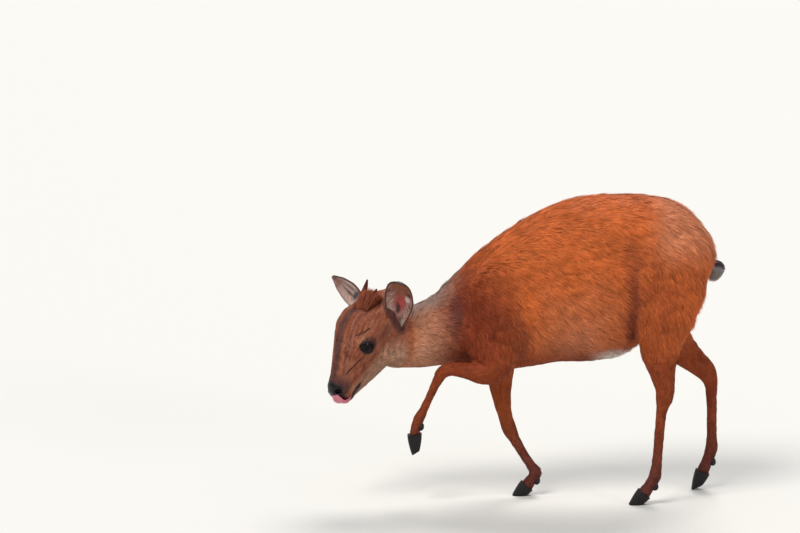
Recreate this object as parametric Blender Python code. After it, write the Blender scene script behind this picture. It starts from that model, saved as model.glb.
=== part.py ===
# Red forest duiker, life size: a still model of one walking animal with its head turned
# and its tongue out. The body is lofted from named sections, fused, smoothed and then
# parted into nodes with thin cuts. Metres, +Z up. The animal faces -X, its left side
# is -Y, and the floor is z = 0 under the middle of its length.
import math

import bmesh
import bpy
import numpy as np
from mathutils import Matrix, Vector

# Driving dimensions
GAP = 0.0003
VOXEL = 0.0024
BODY_TRIANGLES = 6400
TRUNK_SMOOTHING = 40
LIMB_SMOOTHING = 4
RING_POINTS = 28
LEG_POINTS = 16

# Torso sections along X: place, top line, belly line, half width, middle in Y
TORSO = (
    (-0.150, 0.312, 0.214, 0.040, -0.006),
    (-0.115, 0.345, 0.208, 0.050, -0.003),
    (-0.075, 0.384, 0.203, 0.060, 0.0),
    (-0.035, 0.415, 0.200, 0.070, 0.0),
    (0.010, 0.443, 0.206, 0.079, 0.0),
    (0.055, 0.463, 0.213, 0.087, 0.0),
    (0.100, 0.473, 0.214, 0.091, 0.0),
    (0.145, 0.475, 0.228, 0.089, 0.0),
    (0.190, 0.473, 0.248, 0.083, 0.0),
    (0.225, 0.465, 0.262, 0.076, 0.0),
    (0.250, 0.450, 0.288, 0.066, 0.0),
    (0.270, 0.430, 0.320, 0.052, 0.0),
    (0.283, 0.412, 0.350, 0.036, 0.0),
    (0.291, 0.394, 0.376, 0.014, 0.0),
)

# Neck sections from inside the head to inside the torso: middle, half height, half width
NECK = (
    ((-0.222, -0.034, 0.257), 0.041, 0.030),
    ((-0.200, -0.024, 0.252), 0.044, 0.033),
    ((-0.172, -0.013, 0.255), 0.050, 0.039),
    ((-0.140, -0.006, 0.261), 0.054, 0.045),
    ((-0.104, -0.002, 0.271), 0.062, 0.052),
    ((-0.065, 0.0, 0.285), 0.062, 0.055),
)

# Head frame: the poll, and the turn, nod and tilt of the line from poll to nose
POLL = Vector((-0.2225, -0.024, 0.329))
HEAD_TURN = math.radians(32.0)
HEAD_NOD = math.radians(56.0)
HEAD_TILT = math.radians(8.0)
# Middle of the cut that parts head from neck, in the head frame
HEAD_CUT = (0.041, -0.050)

# Head sections along that line: place, top, widest height, bottom, half width,
# fullness above and below the widest height
HEAD = (
    (-0.010, -0.012, -0.034, -0.054, 0.016, 2.0, 2.0),
    (0.002, 0.000, -0.032, -0.072, 0.025, 2.1, 2.0),
    (0.020, 0.011, -0.026, -0.084, 0.034, 2.2, 1.9),
    (0.038, 0.0235, -0.020, -0.090, 0.0395, 2.3, 1.8),
    (0.055, 0.0320, -0.014, -0.091, 0.0415, 2.3, 1.7),
    (0.072, 0.0335, -0.008, -0.088, 0.0400, 2.2, 1.6),
    (0.088, 0.0305, -0.006, -0.083, 0.0362, 2.0, 1.6),
    (0.104, 0.0250, -0.010, -0.078, 0.0312, 1.9, 1.6),
    (0.120, 0.0175, -0.014, -0.071, 0.0263, 1.9, 1.7),
    (0.136, 0.0090, -0.018, -0.064, 0.0224, 2.0, 1.8),
    (0.151, 0.0010, -0.021, -0.057, 0.0195, 2.2, 1.9),
    (0.161, -0.0024, -0.023, -0.052, 0.0190, 2.3, 2.0),
    (0.169, -0.0056, -0.024, -0.048, 0.0180, 2.3, 2.1),
    (0.175, -0.0105, -0.025, -0.043, 0.0148, 2.2, 2.2),
    (0.1785, -0.0168, -0.025, -0.035, 0.0085, 2.0, 2.0),
)

# Eye: middle of the ball in the head frame, its radius and the way it looks
EYE = (0.0885, -0.0030, 0.0252)
EYE_RADIUS = 0.0136
LID_SKIN = 0.0016
EYE_LOOK = (0.26, 0.08, 1.0)
LID_WIDTH = 0.0127
LID_HEIGHT = 0.0098
LID_TUBE = 0.0018
ORBIT_DEPTH = 0.0120

# Ear: length, half width, cup depth and wall
EAR_LENGTH = 0.090
EAR_HALF_WIDTH = 0.0235
EAR_CUP = 0.0150
EAR_WALL = 0.0022
# Half width of the ear as a share of the widest, from root to tip
EAR_SHAPE = ((0.0, 0.40), (0.15, 0.50), (0.30, 0.74), (0.45, 0.93), (0.60, 1.0), (0.75, 0.95),
             (0.88, 0.81), (0.95, 0.58), (1.0, 0.24))
# Root in the head frame, way along the ear and way that its cup faces, for each ear
EARS = {
    "left": ((0.046, -0.034, 0.038), (0.06, -0.40, 0.92), (-0.32, -0.93, -0.15)),
    "right": ((0.044, -0.034, -0.034), (-0.604, 0.40, 0.689), (-0.72, -0.62, -0.27)),
}

# Horns: base in the head frame, base radius, lengths
HORN_BASE = (0.030, 0.0165, 0.0125)
HORN_RADIUS = 0.0064
HORN_WAY = (-1.0, 0.16, 0.05)
HORN_LENGTHS = {"left": 0.022, "right": 0.031}

# Middle of a nostril in the head frame
NOSTRIL = (0.1705, -0.0118, 0.0120)

# Mouth: corner and front of the line in the head frame, and its opening
MOUTH_CORNER = (0.140, -0.0395)
MOUTH_FRONT = (0.190, -0.0345)
MOUTH_OPEN = 0.0032

# Preorbital gland slit, both ends in the head frame, and its width
GLAND = ((0.112, -0.009, 0.0290), (0.141, -0.006, 0.0205))
GLAND_WIDTH = 0.0012

# Legs: stations as place, half thickness fore and aft, half thickness across
LEGS = {
    "foreleg_left": (
        ((-0.062, -0.040, 0.285), 0.046, 0.030),
        ((-0.050, -0.048, 0.245), 0.036, 0.027),
        ((-0.046, -0.056, 0.214), 0.0235, 0.022),
        ((-0.064, -0.058, 0.207), 0.0195, 0.0175),
        ((-0.088, -0.059, 0.211), 0.0150, 0.0140),
        ((-0.110, -0.059, 0.213), 0.0118, 0.0118),
        ((-0.126, -0.058, 0.208), 0.0105, 0.0118),
        ((-0.136, -0.057, 0.192), 0.0080, 0.0092),
        ((-0.146, -0.056, 0.170), 0.0068, 0.0080),
        ((-0.155, -0.055, 0.150), 0.0068, 0.0080),
        ((-0.162, -0.054, 0.136), 0.0088, 0.0100),
        ((-0.167, -0.054, 0.124), 0.0080, 0.0098),
        ((-0.170, -0.054, 0.110), 0.0088, 0.0108),
    ),
    "foreleg_right": (
        ((-0.060, 0.040, 0.290), 0.046, 0.030),
        ((-0.046, 0.046, 0.245), 0.036, 0.027),
        ((-0.038, 0.046, 0.208), 0.026, 0.022),
        ((-0.037, 0.041, 0.176), 0.0200, 0.0165),
        ((-0.034, 0.034, 0.146), 0.0145, 0.0130),
        ((-0.029, 0.027, 0.122), 0.0115, 0.0118),
        ((-0.023, 0.022, 0.103), 0.0118, 0.0118),
        ((-0.014, 0.018, 0.086), 0.0088, 0.0092),
        ((-0.002, 0.014, 0.066), 0.0076, 0.0082),
        ((0.010, 0.011, 0.048), 0.0078, 0.0084),
        ((0.018, 0.009, 0.036), 0.0098, 0.0102),
        ((0.013, 0.008, 0.027), 0.0090, 0.0102),
        ((0.005, 0.008, 0.016), 0.0100, 0.0112),
    ),
    "hindleg_left": (
        ((0.215, -0.032, 0.385), 0.066, 0.042),
        ((0.212, -0.040, 0.340), 0.066, 0.042),
        ((0.208, -0.048, 0.300), 0.056, 0.036),
        ((0.206, -0.054, 0.262), 0.040, 0.027),
        ((0.207, -0.056, 0.232), 0.0290, 0.0200),
        ((0.210, -0.057, 0.206), 0.0205, 0.0150),
        ((0.214, -0.058, 0.183), 0.0160, 0.0120),
        ((0.213, -0.058, 0.165), 0.0135, 0.0112),
        ((0.209, -0.058, 0.145), 0.0088, 0.0092),
        ((0.206, -0.058, 0.110), 0.0080, 0.0084),
        ((0.203, -0.058, 0.070), 0.0080, 0.0084),
        ((0.200, -0.058, 0.045), 0.0100, 0.0102),
        ((0.193, -0.058, 0.032), 0.0090, 0.0102),
        ((0.184, -0.058, 0.018), 0.0102, 0.0114),
    ),
    "hindleg_right": (
        ((0.205, 0.030, 0.385), 0.062, 0.040),
        ((0.205, 0.036, 0.340), 0.060, 0.038),
        ((0.208, 0.041, 0.300), 0.050, 0.034),
        ((0.218, 0.045, 0.262), 0.040, 0.027),
        ((0.234, 0.047, 0.236), 0.0300, 0.0210),
        ((0.252, 0.049, 0.216), 0.0235, 0.0165),
        ((0.270, 0.050, 0.200), 0.0190, 0.0130),
        ((0.284, 0.051, 0.186), 0.0160, 0.0115),
        ((0.291, 0.052, 0.168), 0.0112, 0.0100),
        ((0.292, 0.052, 0.148), 0.0090, 0.0090),
        ((0.293, 0.052, 0.120), 0.0082, 0.0084),
        ((0.293, 0.052, 0.088), 0.0082, 0.0084),
        ((0.293, 0.052, 0.066), 0.0102, 0.0102),
        ((0.287, 0.052, 0.046), 0.0090, 0.0100),
        ((0.280, 0.052, 0.029), 0.0100, 0.0112),
    ),
}

# Feet: middle of the coronet, way down the digit, sole plane normal, sole point
FEET = {
    "foreleg_left": ((-0.170, -0.054, 0.110), (0.10, 0.0, -1.0), (0.62, 0.0, -1.0), 0.040),
    "foreleg_right": ((0.005, 0.008, 0.016), (-0.62, 0.0, -0.78), (0.0, 0.0, -1.0), None),
    "hindleg_left": ((0.184, -0.058, 0.018), (-0.62, 0.0, -0.78), (0.0, 0.0, -1.0), None),
    "hindleg_right": ((0.280, 0.052, 0.0288), (-0.34, 0.0, -0.94), (0.45, 0.0, -1.0), None),
}
CLAW_LENGTH = 0.034
CLAW_HALF_WIDTH = 0.0056
CLAW_HALF_DEPTH = 0.0112
CLEFT = 0.0008

# Cuts that part the body: middle, normal, half size of the thin plate
CUTS = {
    "neck_torso": ((-0.130, -0.004, 0.290), (-0.93, 0.0, 0.36), 0.096),
    "foreleg_left_elbow": ((-0.094, -0.060, 0.2105), (-1.0, 0.0, 0.05), 0.0195),
    "foreleg_left_carpus": ((-0.129, -0.058, 0.204), (-0.55, 0.0, -0.84), 0.020),
    "foreleg_left_fetlock": ((-0.1612, -0.054, 0.1380), (-0.45, 0.0, -0.90), 0.018),
    "foreleg_right_elbow": ((-0.037, 0.043, 0.186), (0.06, -0.12, -1.0), 0.034),
    "foreleg_right_carpus": ((-0.022, 0.0215, 0.101), (0.30, -0.15, -0.94), 0.022),
    "foreleg_right_fetlock": ((0.0165, 0.0095, 0.0385), (0.55, -0.1, -0.83), 0.018),
    "hindleg_left_stifle": ((0.207, -0.055, 0.243), (0.05, -0.05, -1.0), 0.046),
    "hindleg_left_hock": ((0.213, -0.058, 0.172), (-0.15, 0.0, -1.0), 0.024),
    "hindleg_left_fetlock": ((0.2005, -0.058, 0.048), (-0.20, 0.0, -0.98), 0.018),
    "hindleg_right_stifle": ((0.231, 0.047, 0.241), (0.55, 0.06, -0.83), 0.046),
    "hindleg_right_hock": ((0.288, 0.0515, 0.177), (0.35, 0.0, -0.94), 0.026),
    "hindleg_right_fetlock": ((0.293, 0.052, 0.0685), (0.0, 0.0, -1.0), 0.018),
}
# A point inside each piece of the parted body
PIECES = {
    "head": (-0.255, -0.048, 0.262),
    "neck": (-0.150, -0.008, 0.266),
    "torso": (0.100, 0.0, 0.330),
    "foreleg_left_forearm": (-0.100, -0.059, 0.211),
    "foreleg_left_cannon": (-0.147, -0.056, 0.170),
    "foreleg_left_pastern": (-0.169, -0.054, 0.122),
    "foreleg_right_forearm": (-0.034, 0.034, 0.146),
    "foreleg_right_cannon": (-0.002, 0.014, 0.066),
    "foreleg_right_pastern": (0.013, 0.008, 0.027),
    "hindleg_left_gaskin": (0.210, -0.057, 0.206),
    "hindleg_left_cannon": (0.206, -0.058, 0.110),
    "hindleg_left_pastern": (0.193, -0.058, 0.032),
    "hindleg_right_gaskin": (0.260, 0.049, 0.210),
    "hindleg_right_cannon": (0.294, 0.052, 0.125),
    "hindleg_right_pastern": (0.288, 0.052, 0.049),
}

# Tail: the dock's line and half thickness, then its tuft of locks
TAIL = (
    ((0.268, 0.000, 0.366), 0.0120),
    ((0.284, 0.006, 0.364), 0.0110),
    ((0.2945, 0.022, 0.359), 0.0095),
    ((0.297, 0.040, 0.353), 0.0085),
    ((0.296, 0.054, 0.347), 0.0055),
)
TAIL_LOCKS = 16
CREST_LOCKS = 13

COLOURS = {
    "coat": ((0.42, 0.13, 0.045), 0.75),
    "leg_coat": ((0.20, 0.06, 0.035), 0.75),
    "horn": ((0.030, 0.018, 0.014), 0.45),
    "hoof": ((0.014, 0.012, 0.012), 0.40),
    "eye": ((0.006, 0.005, 0.005), 0.05),
    "tongue": ((0.72, 0.20, 0.24), 0.35),
    "ear": ((0.30, 0.15, 0.12), 0.70),
    "tail_coat": ((0.06, 0.04, 0.045), 0.80),
}


def clear_scene():
    for item in list(bpy.data.objects):
        bpy.data.objects.remove(item)


def material(name):
    found = bpy.data.materials.get(name)
    if found:
        return found
    colour, roughness = COLOURS[name]
    made = bpy.data.materials.new(name)
    made.use_nodes = True
    shader = made.node_tree.nodes["Principled BSDF"]
    shader.inputs["Base Color"].default_value = (*colour, 1.0)
    shader.inputs["Roughness"].default_value = roughness
    shader.inputs["Metallic"].default_value = 0.0
    return made


def add_object(name, bm, kind="coat"):
    """Turns a bmesh into an object whose faces point out."""
    bmesh.ops.recalc_face_normals(bm, faces=bm.faces)
    if bm.calc_volume(signed=True) < 0:
        bmesh.ops.reverse_faces(bm, faces=bm.faces)
    mesh = bpy.data.meshes.new(name)
    bm.to_mesh(mesh)
    bm.free()
    item = bpy.data.objects.new(name, mesh)
    bpy.context.scene.collection.objects.link(item)
    mesh.materials.append(material(kind))
    return item


def apply_modifiers(item):
    bpy.context.view_layer.update()
    graph = bpy.context.evaluated_depsgraph_get()
    mesh = bpy.data.meshes.new_from_object(item.evaluated_get(graph))
    old = item.data
    item.modifiers.clear()
    item.data = mesh
    bpy.data.meshes.remove(old)


def remove(items):
    for item in items:
        bpy.data.objects.remove(item)


def copy_of(item, name):
    twin = item.copy()
    twin.data = item.data.copy()
    twin.name = name
    bpy.context.scene.collection.objects.link(twin)
    return twin


def boolean(item, others, operation):
    """Joins or cuts item with the closed meshes in others, which are then removed. The
    manifold solver keeps the union of many locks closed, which the exact one does not."""
    group = bpy.data.collections.new("tools")
    bpy.context.scene.collection.children.link(group)
    for other in others:
        group.objects.link(other)
    step = item.modifiers.new("boolean", "BOOLEAN")
    step.operation = operation
    step.operand_type = "COLLECTION"
    step.collection = group
    step.solver = "MANIFOLD"
    apply_modifiers(item)
    bpy.data.collections.remove(group)
    remove(others)


def islands(bm):
    """The connected pieces of a bmesh, as lists of faces."""
    left = set(bm.faces)
    found = []
    while left:
        stack = [left.pop()]
        island = [stack[0]]
        while stack:
            for edge in stack.pop().edges:
                for face in edge.link_faces:
                    if face in left:
                        left.remove(face)
                        stack.append(face)
                        island.append(face)
        found.append(island)
    return found


def keep_largest(item):
    bm = bmesh.new()
    bm.from_mesh(item.data)
    pieces = islands(bm)
    largest = max(pieces, key=lambda faces: sum(face.calc_area() for face in faces))
    scraps = [face for piece in pieces if piece is not largest for face in piece]
    bmesh.ops.delete(bm, geom=scraps, context="FACES")
    bmesh.ops.triangulate(bm, faces=bm.faces)
    bm.to_mesh(item.data)
    bm.free()


def loft(rings):
    """A closed skin over rings of equally many points, with a cap at either end."""
    bm = bmesh.new()
    rows = [[bm.verts.new(point) for point in ring] for ring in rings]
    count = len(rows[0])
    for low, high in zip(rows, rows[1:]):
        for k in range(count):
            after = (k + 1) % count
            bm.faces.new((low[k], low[after], high[after], high[k]))
    for row in (rows[0], rows[-1]):
        middle = bm.verts.new(sum((v.co for v in row), Vector()) / count)
        for k in range(count):
            bm.faces.new((row[k], row[(k + 1) % count], middle))
    return bm


def blend(values, place):
    """A smooth curve through rows of numbers, read at a place counted in rows."""
    rows = np.array(values, float)
    k = min(int(place), len(rows) - 2)
    t = place - k
    before = rows[max(k - 1, 0)]
    after = rows[min(k + 2, len(rows) - 1)]
    start = (rows[k + 1] - before) / 2
    end = (after - rows[k]) / 2
    a = (1 + 2 * t) * (1 - t) ** 2
    b = t * (1 - t) ** 2
    c = t * t * (3 - 2 * t)
    d = t * t * (t - 1)
    return a * rows[k] + b * start + c * rows[k + 1] + d * end


def smooth_rows(values, parts):
    last = (len(values) - 1) * parts
    return [blend(values, k / parts) for k in range(last + 1)]


def power_ring(middle, up, side, top, bottom, half_width, full_top, full_bottom, count):
    """A ring whose upper and lower halves are superellipses that share their width."""
    points = []
    for k in range(count):
        angle = 2 * math.pi * k / count
        c = math.cos(angle)
        s = math.sin(angle)
        full = full_top if s >= 0 else full_bottom
        across = math.copysign(abs(c) ** (2 / full), c) * half_width
        height = math.copysign(abs(s) ** (2 / full), s) * (top if s >= 0 else bottom)
        points.append(middle + side * across + up * height)
    return points


def torso():
    rings = []
    for x, top, bottom, half, y in smooth_rows(TORSO, 3):
        wide = bottom + 0.52 * (top - bottom)
        middle = Vector((x, y, wide))
        rings.append(
            power_ring(middle, Vector((0, 0, 1)), Vector((0, 1, 0)), top - wide,
                       wide - bottom, half, 2.1, 2.0, RING_POINTS)
        )
    return loft(rings)


def tube(stations, count, parts=3):
    """A loft along stations of a middle, a half thickness in the leg's plane and one
    across it."""
    rows = smooth_rows([(*place, deep, wide) for place, deep, wide in stations], parts)
    rings = []
    for k, row in enumerate(rows):
        before = Vector(rows[max(k - 1, 0)][:3])
        after = Vector(rows[min(k + 1, len(rows) - 1)][:3])
        along = (after - before).normalized()
        side = Vector((0, 1, 0))
        side = (side - along * side.dot(along)).normalized()
        up = along.cross(side)
        rings.append(
            power_ring(Vector(row[:3]), up, side, row[3], row[3], row[4], 2.0, 2.0, count)
        )
    return loft(rings)


def head_axes():
    """Forward along the nose, up from the forehead and out of the left cheek."""
    cn, sn = math.cos(HEAD_NOD), math.sin(HEAD_NOD)
    ct, st = math.cos(HEAD_TURN), math.sin(HEAD_TURN)
    forward = Vector((-ct * cn, -st * cn, -sn))
    up = Vector((-ct * sn, -st * sn, cn))
    left = Vector((st, -ct, 0.0))
    tilt = Matrix.Rotation(-HEAD_TILT, 3, forward)
    return forward, tilt @ up, tilt @ left


FORWARD, UP, LEFT = head_axes()
HEAD_CUT_WAY = (FORWARD * 0.475 + UP * 0.88).normalized()


def on_head(forward, up, left=0.0):
    return POLL + FORWARD * forward + UP * up + LEFT * left


def head_way(forward, up, left):
    return (FORWARD * forward + UP * up + LEFT * left).normalized()


def head():
    rings = []
    for place, top, wide, bottom, half, full_top, full_bottom in smooth_rows(HEAD, 3):
        rings.append(
            power_ring(on_head(place, wide), UP, LEFT, top - wide, wide - bottom, half,
                       full_top, full_bottom, RING_POINTS)
        )
    return loft(rings)


def ball(middle, radii, axes=None, rings=10, segments=16):
    """An ellipsoid with its three radii along the given axes."""
    bm = bmesh.new()
    bmesh.ops.create_uvsphere(bm, u_segments=segments, v_segments=rings, radius=1.0)
    axes = axes or (Vector((1, 0, 0)), Vector((0, 1, 0)), Vector((0, 0, 1)))
    for vert in bm.verts:
        x, y, z = vert.co
        vert.co = middle + axes[0] * (x * radii[0]) + axes[1] * (y * radii[1]) + axes[2] * (
            z * radii[2])
    return bm


def body_forms():
    """The overlapping forms of trunk, neck, head and limbs."""
    forms = [add_object("form_torso", torso())]
    forms.append(add_object("form_neck", tube(NECK, RING_POINTS)))
    forms.append(add_object("form_head", head()))
    for name, stations in LEGS.items():
        forms.append(add_object("form_" + name, tube(stations, LEG_POINTS)))
    for side in (-1, 1):
        forms.append(add_object("form_lids", ball(
            on_head(EYE[0], EYE[1], side * EYE[2]), (EYE_RADIUS + LID_SKIN,) * 3)))
        forms.append(add_object("form_shoulder", ball(
            Vector((-0.042, side * 0.040, 0.300)), (0.060, 0.037, 0.078))))
        forms.append(add_object("form_haunch", ball(
            Vector((0.212, side * 0.040, 0.355)), (0.066, 0.043, 0.088))))
    return forms


def trunk_share(place):
    """1 on trunk and neck, 0 on head and limbs, with a soft change between."""
    above = min(max((place.z - 0.215) / 0.045, 0.0), 1.0)
    behind = (place - on_head(*HEAD_CUT)).dot(-HEAD_CUT_WAY)
    return above * min(max(behind / 0.03, 0.0), 1.0)


def fused(name, forms):
    """One smooth closed skin over overlapping forms, finest on the head."""
    bm = bmesh.new()
    for form in forms:
        bm.from_mesh(form.data)
    remove(forms)
    item = add_object(name, bm)
    step = item.modifiers.new("fuse", "REMESH")
    step.mode = "VOXEL"
    step.voxel_size = VOXEL
    apply_modifiers(item)
    trunk = item.vertex_groups.new(name="trunk")
    for vert in item.data.vertices:
        trunk.add([vert.index], trunk_share(vert.co), "REPLACE")
    for iterations, group in ((LIMB_SMOOTHING, ""), (TRUNK_SMOOTHING, "trunk")):
        step = item.modifiers.new("smooth", "SMOOTH")
        step.factor = 0.5
        step.iterations = iterations
        step.vertex_group = group
    step = item.modifiers.new("thin_out", "DECIMATE")
    step.ratio = BODY_TRIANGLES / (2 * len(item.data.polygons))
    apply_modifiers(item)
    item.vertex_groups.clear()
    keep_largest(item)
    return item


def plate(name, middle, normal, half, thick=GAP):
    """A thin square plate for a cut."""
    bm = bmesh.new()
    bmesh.ops.create_cube(bm, size=1.0)
    turn = Vector(normal).to_track_quat("Z", "Y").to_matrix().to_4x4()
    size = Matrix.Diagonal((2 * half, 2 * half, thick, 1.0))
    bm.transform(Matrix.Translation(middle) @ turn @ size)
    return add_object(name, bm)


def part_body(body):
    """Cuts the fused body and names its pieces by the points inside them."""
    cutters = [plate("cut_" + name, *CUTS[name]) for name in CUTS]
    cutters.append(plate("cut_head", on_head(*HEAD_CUT), HEAD_CUT_WAY, 0.085))
    for leg, foot in FEET.items():
        middle, down = Vector(foot[0]), Vector(foot[1]).normalized()
        cutters.append(plate("cut_" + leg, middle + down * 0.02, down, 0.018, 0.04))
    for cutter in cutters:
        boolean(body, [cutter], "DIFFERENCE")
    bm = bmesh.new()
    bm.from_mesh(body.data)
    bmesh.ops.triangulate(bm, faces=bm.faces)
    made = {}
    for faces in islands(bm):
        centre = sum((f.calc_center_median() * f.calc_area() for f in faces), Vector())
        area = sum(face.calc_area() for face in faces)
        centre /= area
        name = min(PIECES, key=lambda n: (Vector(PIECES[n]) - centre).length)
        if area > made.get(name, (0,))[0]:
            made[name] = (area, faces)
    nodes = {}
    for name, (_, faces) in made.items():
        piece = bmesh.new()
        copies = {}
        for face in faces:
            for vert in face.verts:
                if vert not in copies:
                    copies[vert] = piece.verts.new(vert.co)
            piece.faces.new([copies[vert] for vert in face.verts])
        kind = "leg_coat" if "cannon" in name or "pastern" in name else "coat"
        nodes[name] = add_object(name, piece, kind)
    bm.free()
    remove([body])
    return nodes


def grown(item, by):
    """A copy of item pushed out along its normals, as a cutter that leaves a gap."""
    twin = copy_of(item, "grown_" + item.name)
    step = twin.modifiers.new("grow", "DISPLACE")
    step.mid_level = 0.0
    step.strength = by
    apply_modifiers(twin)
    return twin


def eye_axes(side):
    """The way an eye looks, the way along its lids to the nose and the way up."""
    look = head_way(EYE_LOOK[0], EYE_LOOK[1], side * EYE_LOOK[2])
    along = head_way(0.53, 0.85, 0.0)
    along = (along - look * along.dot(look)).normalized()
    rise = look.cross(along)
    if rise.dot(UP) < 0:
        rise = -rise
    return look, along, rise


def lid_ring(side):
    """A tube round the almond opening of the lids, on the front of the eye ball."""
    look, along, rise = eye_axes(side)
    centre = on_head(EYE[0], EYE[1], side * EYE[2])
    reach = EYE_RADIUS + 0.0004
    count = 20
    middles = []
    for k in range(count):
        angle = 2 * math.pi * k / count
        x = LID_WIDTH * math.cos(angle)
        y = LID_HEIGHT * math.copysign(abs(math.sin(angle)) ** 1.15, math.sin(angle))
        depth = math.sqrt(max(reach**2 - x * x - y * y, 0.0))
        middles.append(centre + along * x + rise * y + look * depth)
    bm = bmesh.new()
    rows = []
    for k, middle in enumerate(middles):
        way = (middles[(k + 1) % count] - middles[k - 1]).normalized()
        out = (middle - centre).normalized()
        across = way.cross(out)
        row = []
        for j in range(6):
            turn = 2 * math.pi * j / 6
            row.append(bm.verts.new(
                middle + out * (LID_TUBE * 0.8 * math.cos(turn)) + across * (
                    LID_TUBE * math.sin(turn))))
        rows.append(row)
    for k in range(count):
        low, high = rows[k], rows[(k + 1) % count]
        for j in range(6):
            bm.faces.new((low[j], low[(j + 1) % 6], high[(j + 1) % 6], high[j]))
    return bm


def lock(root, tip, width, thick, bend, across):
    """A flat tapered lock of hair from root to tip that bends on the way."""
    along = tip - root
    side = across - along * across.dot(along) / along.length_squared
    side.normalize()
    face = along.cross(side).normalized()
    shape = ((0.0, 0.85, 1.0), (0.35, 1.0, 0.9), (0.7, 0.66, 0.7), (0.93, 0.24, 0.35))
    rings = []
    for t, wide, deep in shape:
        middle = root + along * t + face * (bend * math.sin(math.pi * t))
        w = side * (width * wide / 2)
        d = face * (thick * deep / 2)
        rings.append((middle + w, middle + d, middle - w, middle - d))
    bm = loft(rings)
    peak = max(bm.verts, key=lambda v: (v.co - root).dot(along))
    peak.co = tip
    return bm


def head_node(skull):
    """Adds lids and crest to the skull's skin, then cuts mouth, nostrils, glands and
    eye sockets."""
    rng = np.random.default_rng(7)
    added = [add_object("lid", lid_ring(side)) for side in (-1, 1)]
    for k in range(CREST_LOCKS):
        spread = rng.uniform(-1, 1)
        place = rng.uniform(0.0, 1.0)
        root = on_head(0.046 - 0.020 * place, 0.0095 + 0.004 * (1 - place), 0.0030 * spread)
        tip = on_head(0.022 - 0.022 * place, 0.031 - 0.006 * abs(spread), 0.0045 * spread)
        added.append(add_object("crest_lock", lock(
            root, tip, 0.0056, 0.0024, 0.003, LEFT + FORWARD * 0.3 * spread)))
    orbits = []
    for side in (-1, 1):
        look, along, rise = eye_axes(side)
        middle = on_head(EYE[0], EYE[1], side * EYE[2]) + look * EYE_RADIUS
        orbits.append(add_object("orbit", ball(middle, (LID_WIDTH, LID_HEIGHT, ORBIT_DEPTH),
                                               (along, rise, look), 8, 14)))
    boolean(skull, orbits, "DIFFERENCE")
    boolean(skull, added, "UNION")
    keep_largest(skull)
    cutters = []
    for side in (-1, 1):
        cutters.append(add_object("socket", ball(
            on_head(EYE[0], EYE[1], side * EYE[2]), (EYE_RADIUS + GAP,) * 3, None, 10, 16)))
        cutters.append(add_object("nostril", nostril(side)))
        cutters.append(add_object("gland", gland(side)))
    cutters.append(add_object("mouth", mouth()))
    boolean(skull, cutters, "DIFFERENCE")
    keep_largest(skull)


def nostril(side):
    """A comma-shaped pit beside the tip of the nose."""
    middle = on_head(NOSTRIL[0], NOSTRIL[1], side * NOSTRIL[2])
    depth = head_way(0.35, 0.60, side * 0.70)
    along = head_way(-0.60, -0.45, side * 0.65)
    along = (along - depth * along.dot(depth)).normalized()
    return ball(middle, (0.0048, 0.0044, 0.0024), (along, depth, along.cross(depth)), 8, 10)


def gland(side):
    """The narrow slit of the gland in front of the eye."""
    start, end = (on_head(f, u, side * l) for f, u, l in GLAND)
    along = (end - start).normalized()
    out = head_way(0.35, 0.1, side * 1.0)
    out = (out - along * out.dot(along)).normalized()
    return ball((start + end) / 2, ((end - start).length / 2, 0.0026, GLAND_WIDTH / 2),
                (along, out, along.cross(out)), 6, 12)


def mouth():
    """A wedge that parts the lips from the front back to the corners."""
    half = 0.03
    corner = on_head(*MOUTH_CORNER)
    front = on_head(*MOUTH_FRONT)
    up = UP * (MOUTH_OPEN / 2)
    rings = []
    for side in (-1, 1):
        across = LEFT * (half * side)
        rings.append((corner + across, front + up + across, front - up + across))
    return loft(rings)


def ear(side_name):
    """A cupped oval shell. Its rings run from the root to the tip, and each goes along
    the back of the ear and returns along the inside."""
    root, along, facing = EARS[side_name]
    base = on_head(*root)
    along = Vector(along).normalized()
    facing = Vector(facing)
    facing = (facing - along * facing.dot(along)).normalized()
    side = along.cross(facing)
    rings = []
    arc = 9
    for t, share in EAR_SHAPE:
        half = EAR_HALF_WIDTH * share
        bend = math.radians(115 - 60 * t)
        depth = EAR_CUP * (1.0 - 0.55 * t) * (0.30 + 0.70 * share)
        middle = base + along * (EAR_LENGTH * t) - facing * (0.006 * math.sin(math.pi * t))
        outer = []
        inner = []
        for j in range(arc):
            angle = -bend + 2 * bend * j / (arc - 1)
            spread = math.sin(angle) / math.sin(min(bend, math.pi / 2))
            sink = depth * (math.cos(angle) - math.cos(bend)) / (1 - math.cos(bend))
            wall = EAR_WALL * (0.45 if j in (0, arc - 1) else 1.0)
            point = middle + side * (half * spread) - facing * sink
            inward = (facing * math.cos(angle) - side * math.sin(angle)) * wall
            outer.append(point)
            inner.append(point + inward)
        rings.append(outer + inner[::-1])
    return add_object("ear_" + side_name, loft(rings), "ear")


def horn(side_name):
    sign = 1 if side_name == "left" else -1
    length, way = HORN_LENGTHS[side_name], HORN_WAY
    root = on_head(HORN_BASE[0], HORN_BASE[1] - 0.004, sign * HORN_BASE[2])
    stations = []
    for k in range(6):
        t = k / 5
        place = root + head_way(way[0], way[1], sign * way[2]) * ((length + 0.004) * t)
        place += UP * (0.0030 * t * t)
        radius = HORN_RADIUS * (1 - 0.82 * t**1.5)
        stations.append((tuple(place), radius, radius))
    return add_object("horn_" + side_name, tube(stations, 12, 1), "horn")


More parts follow.
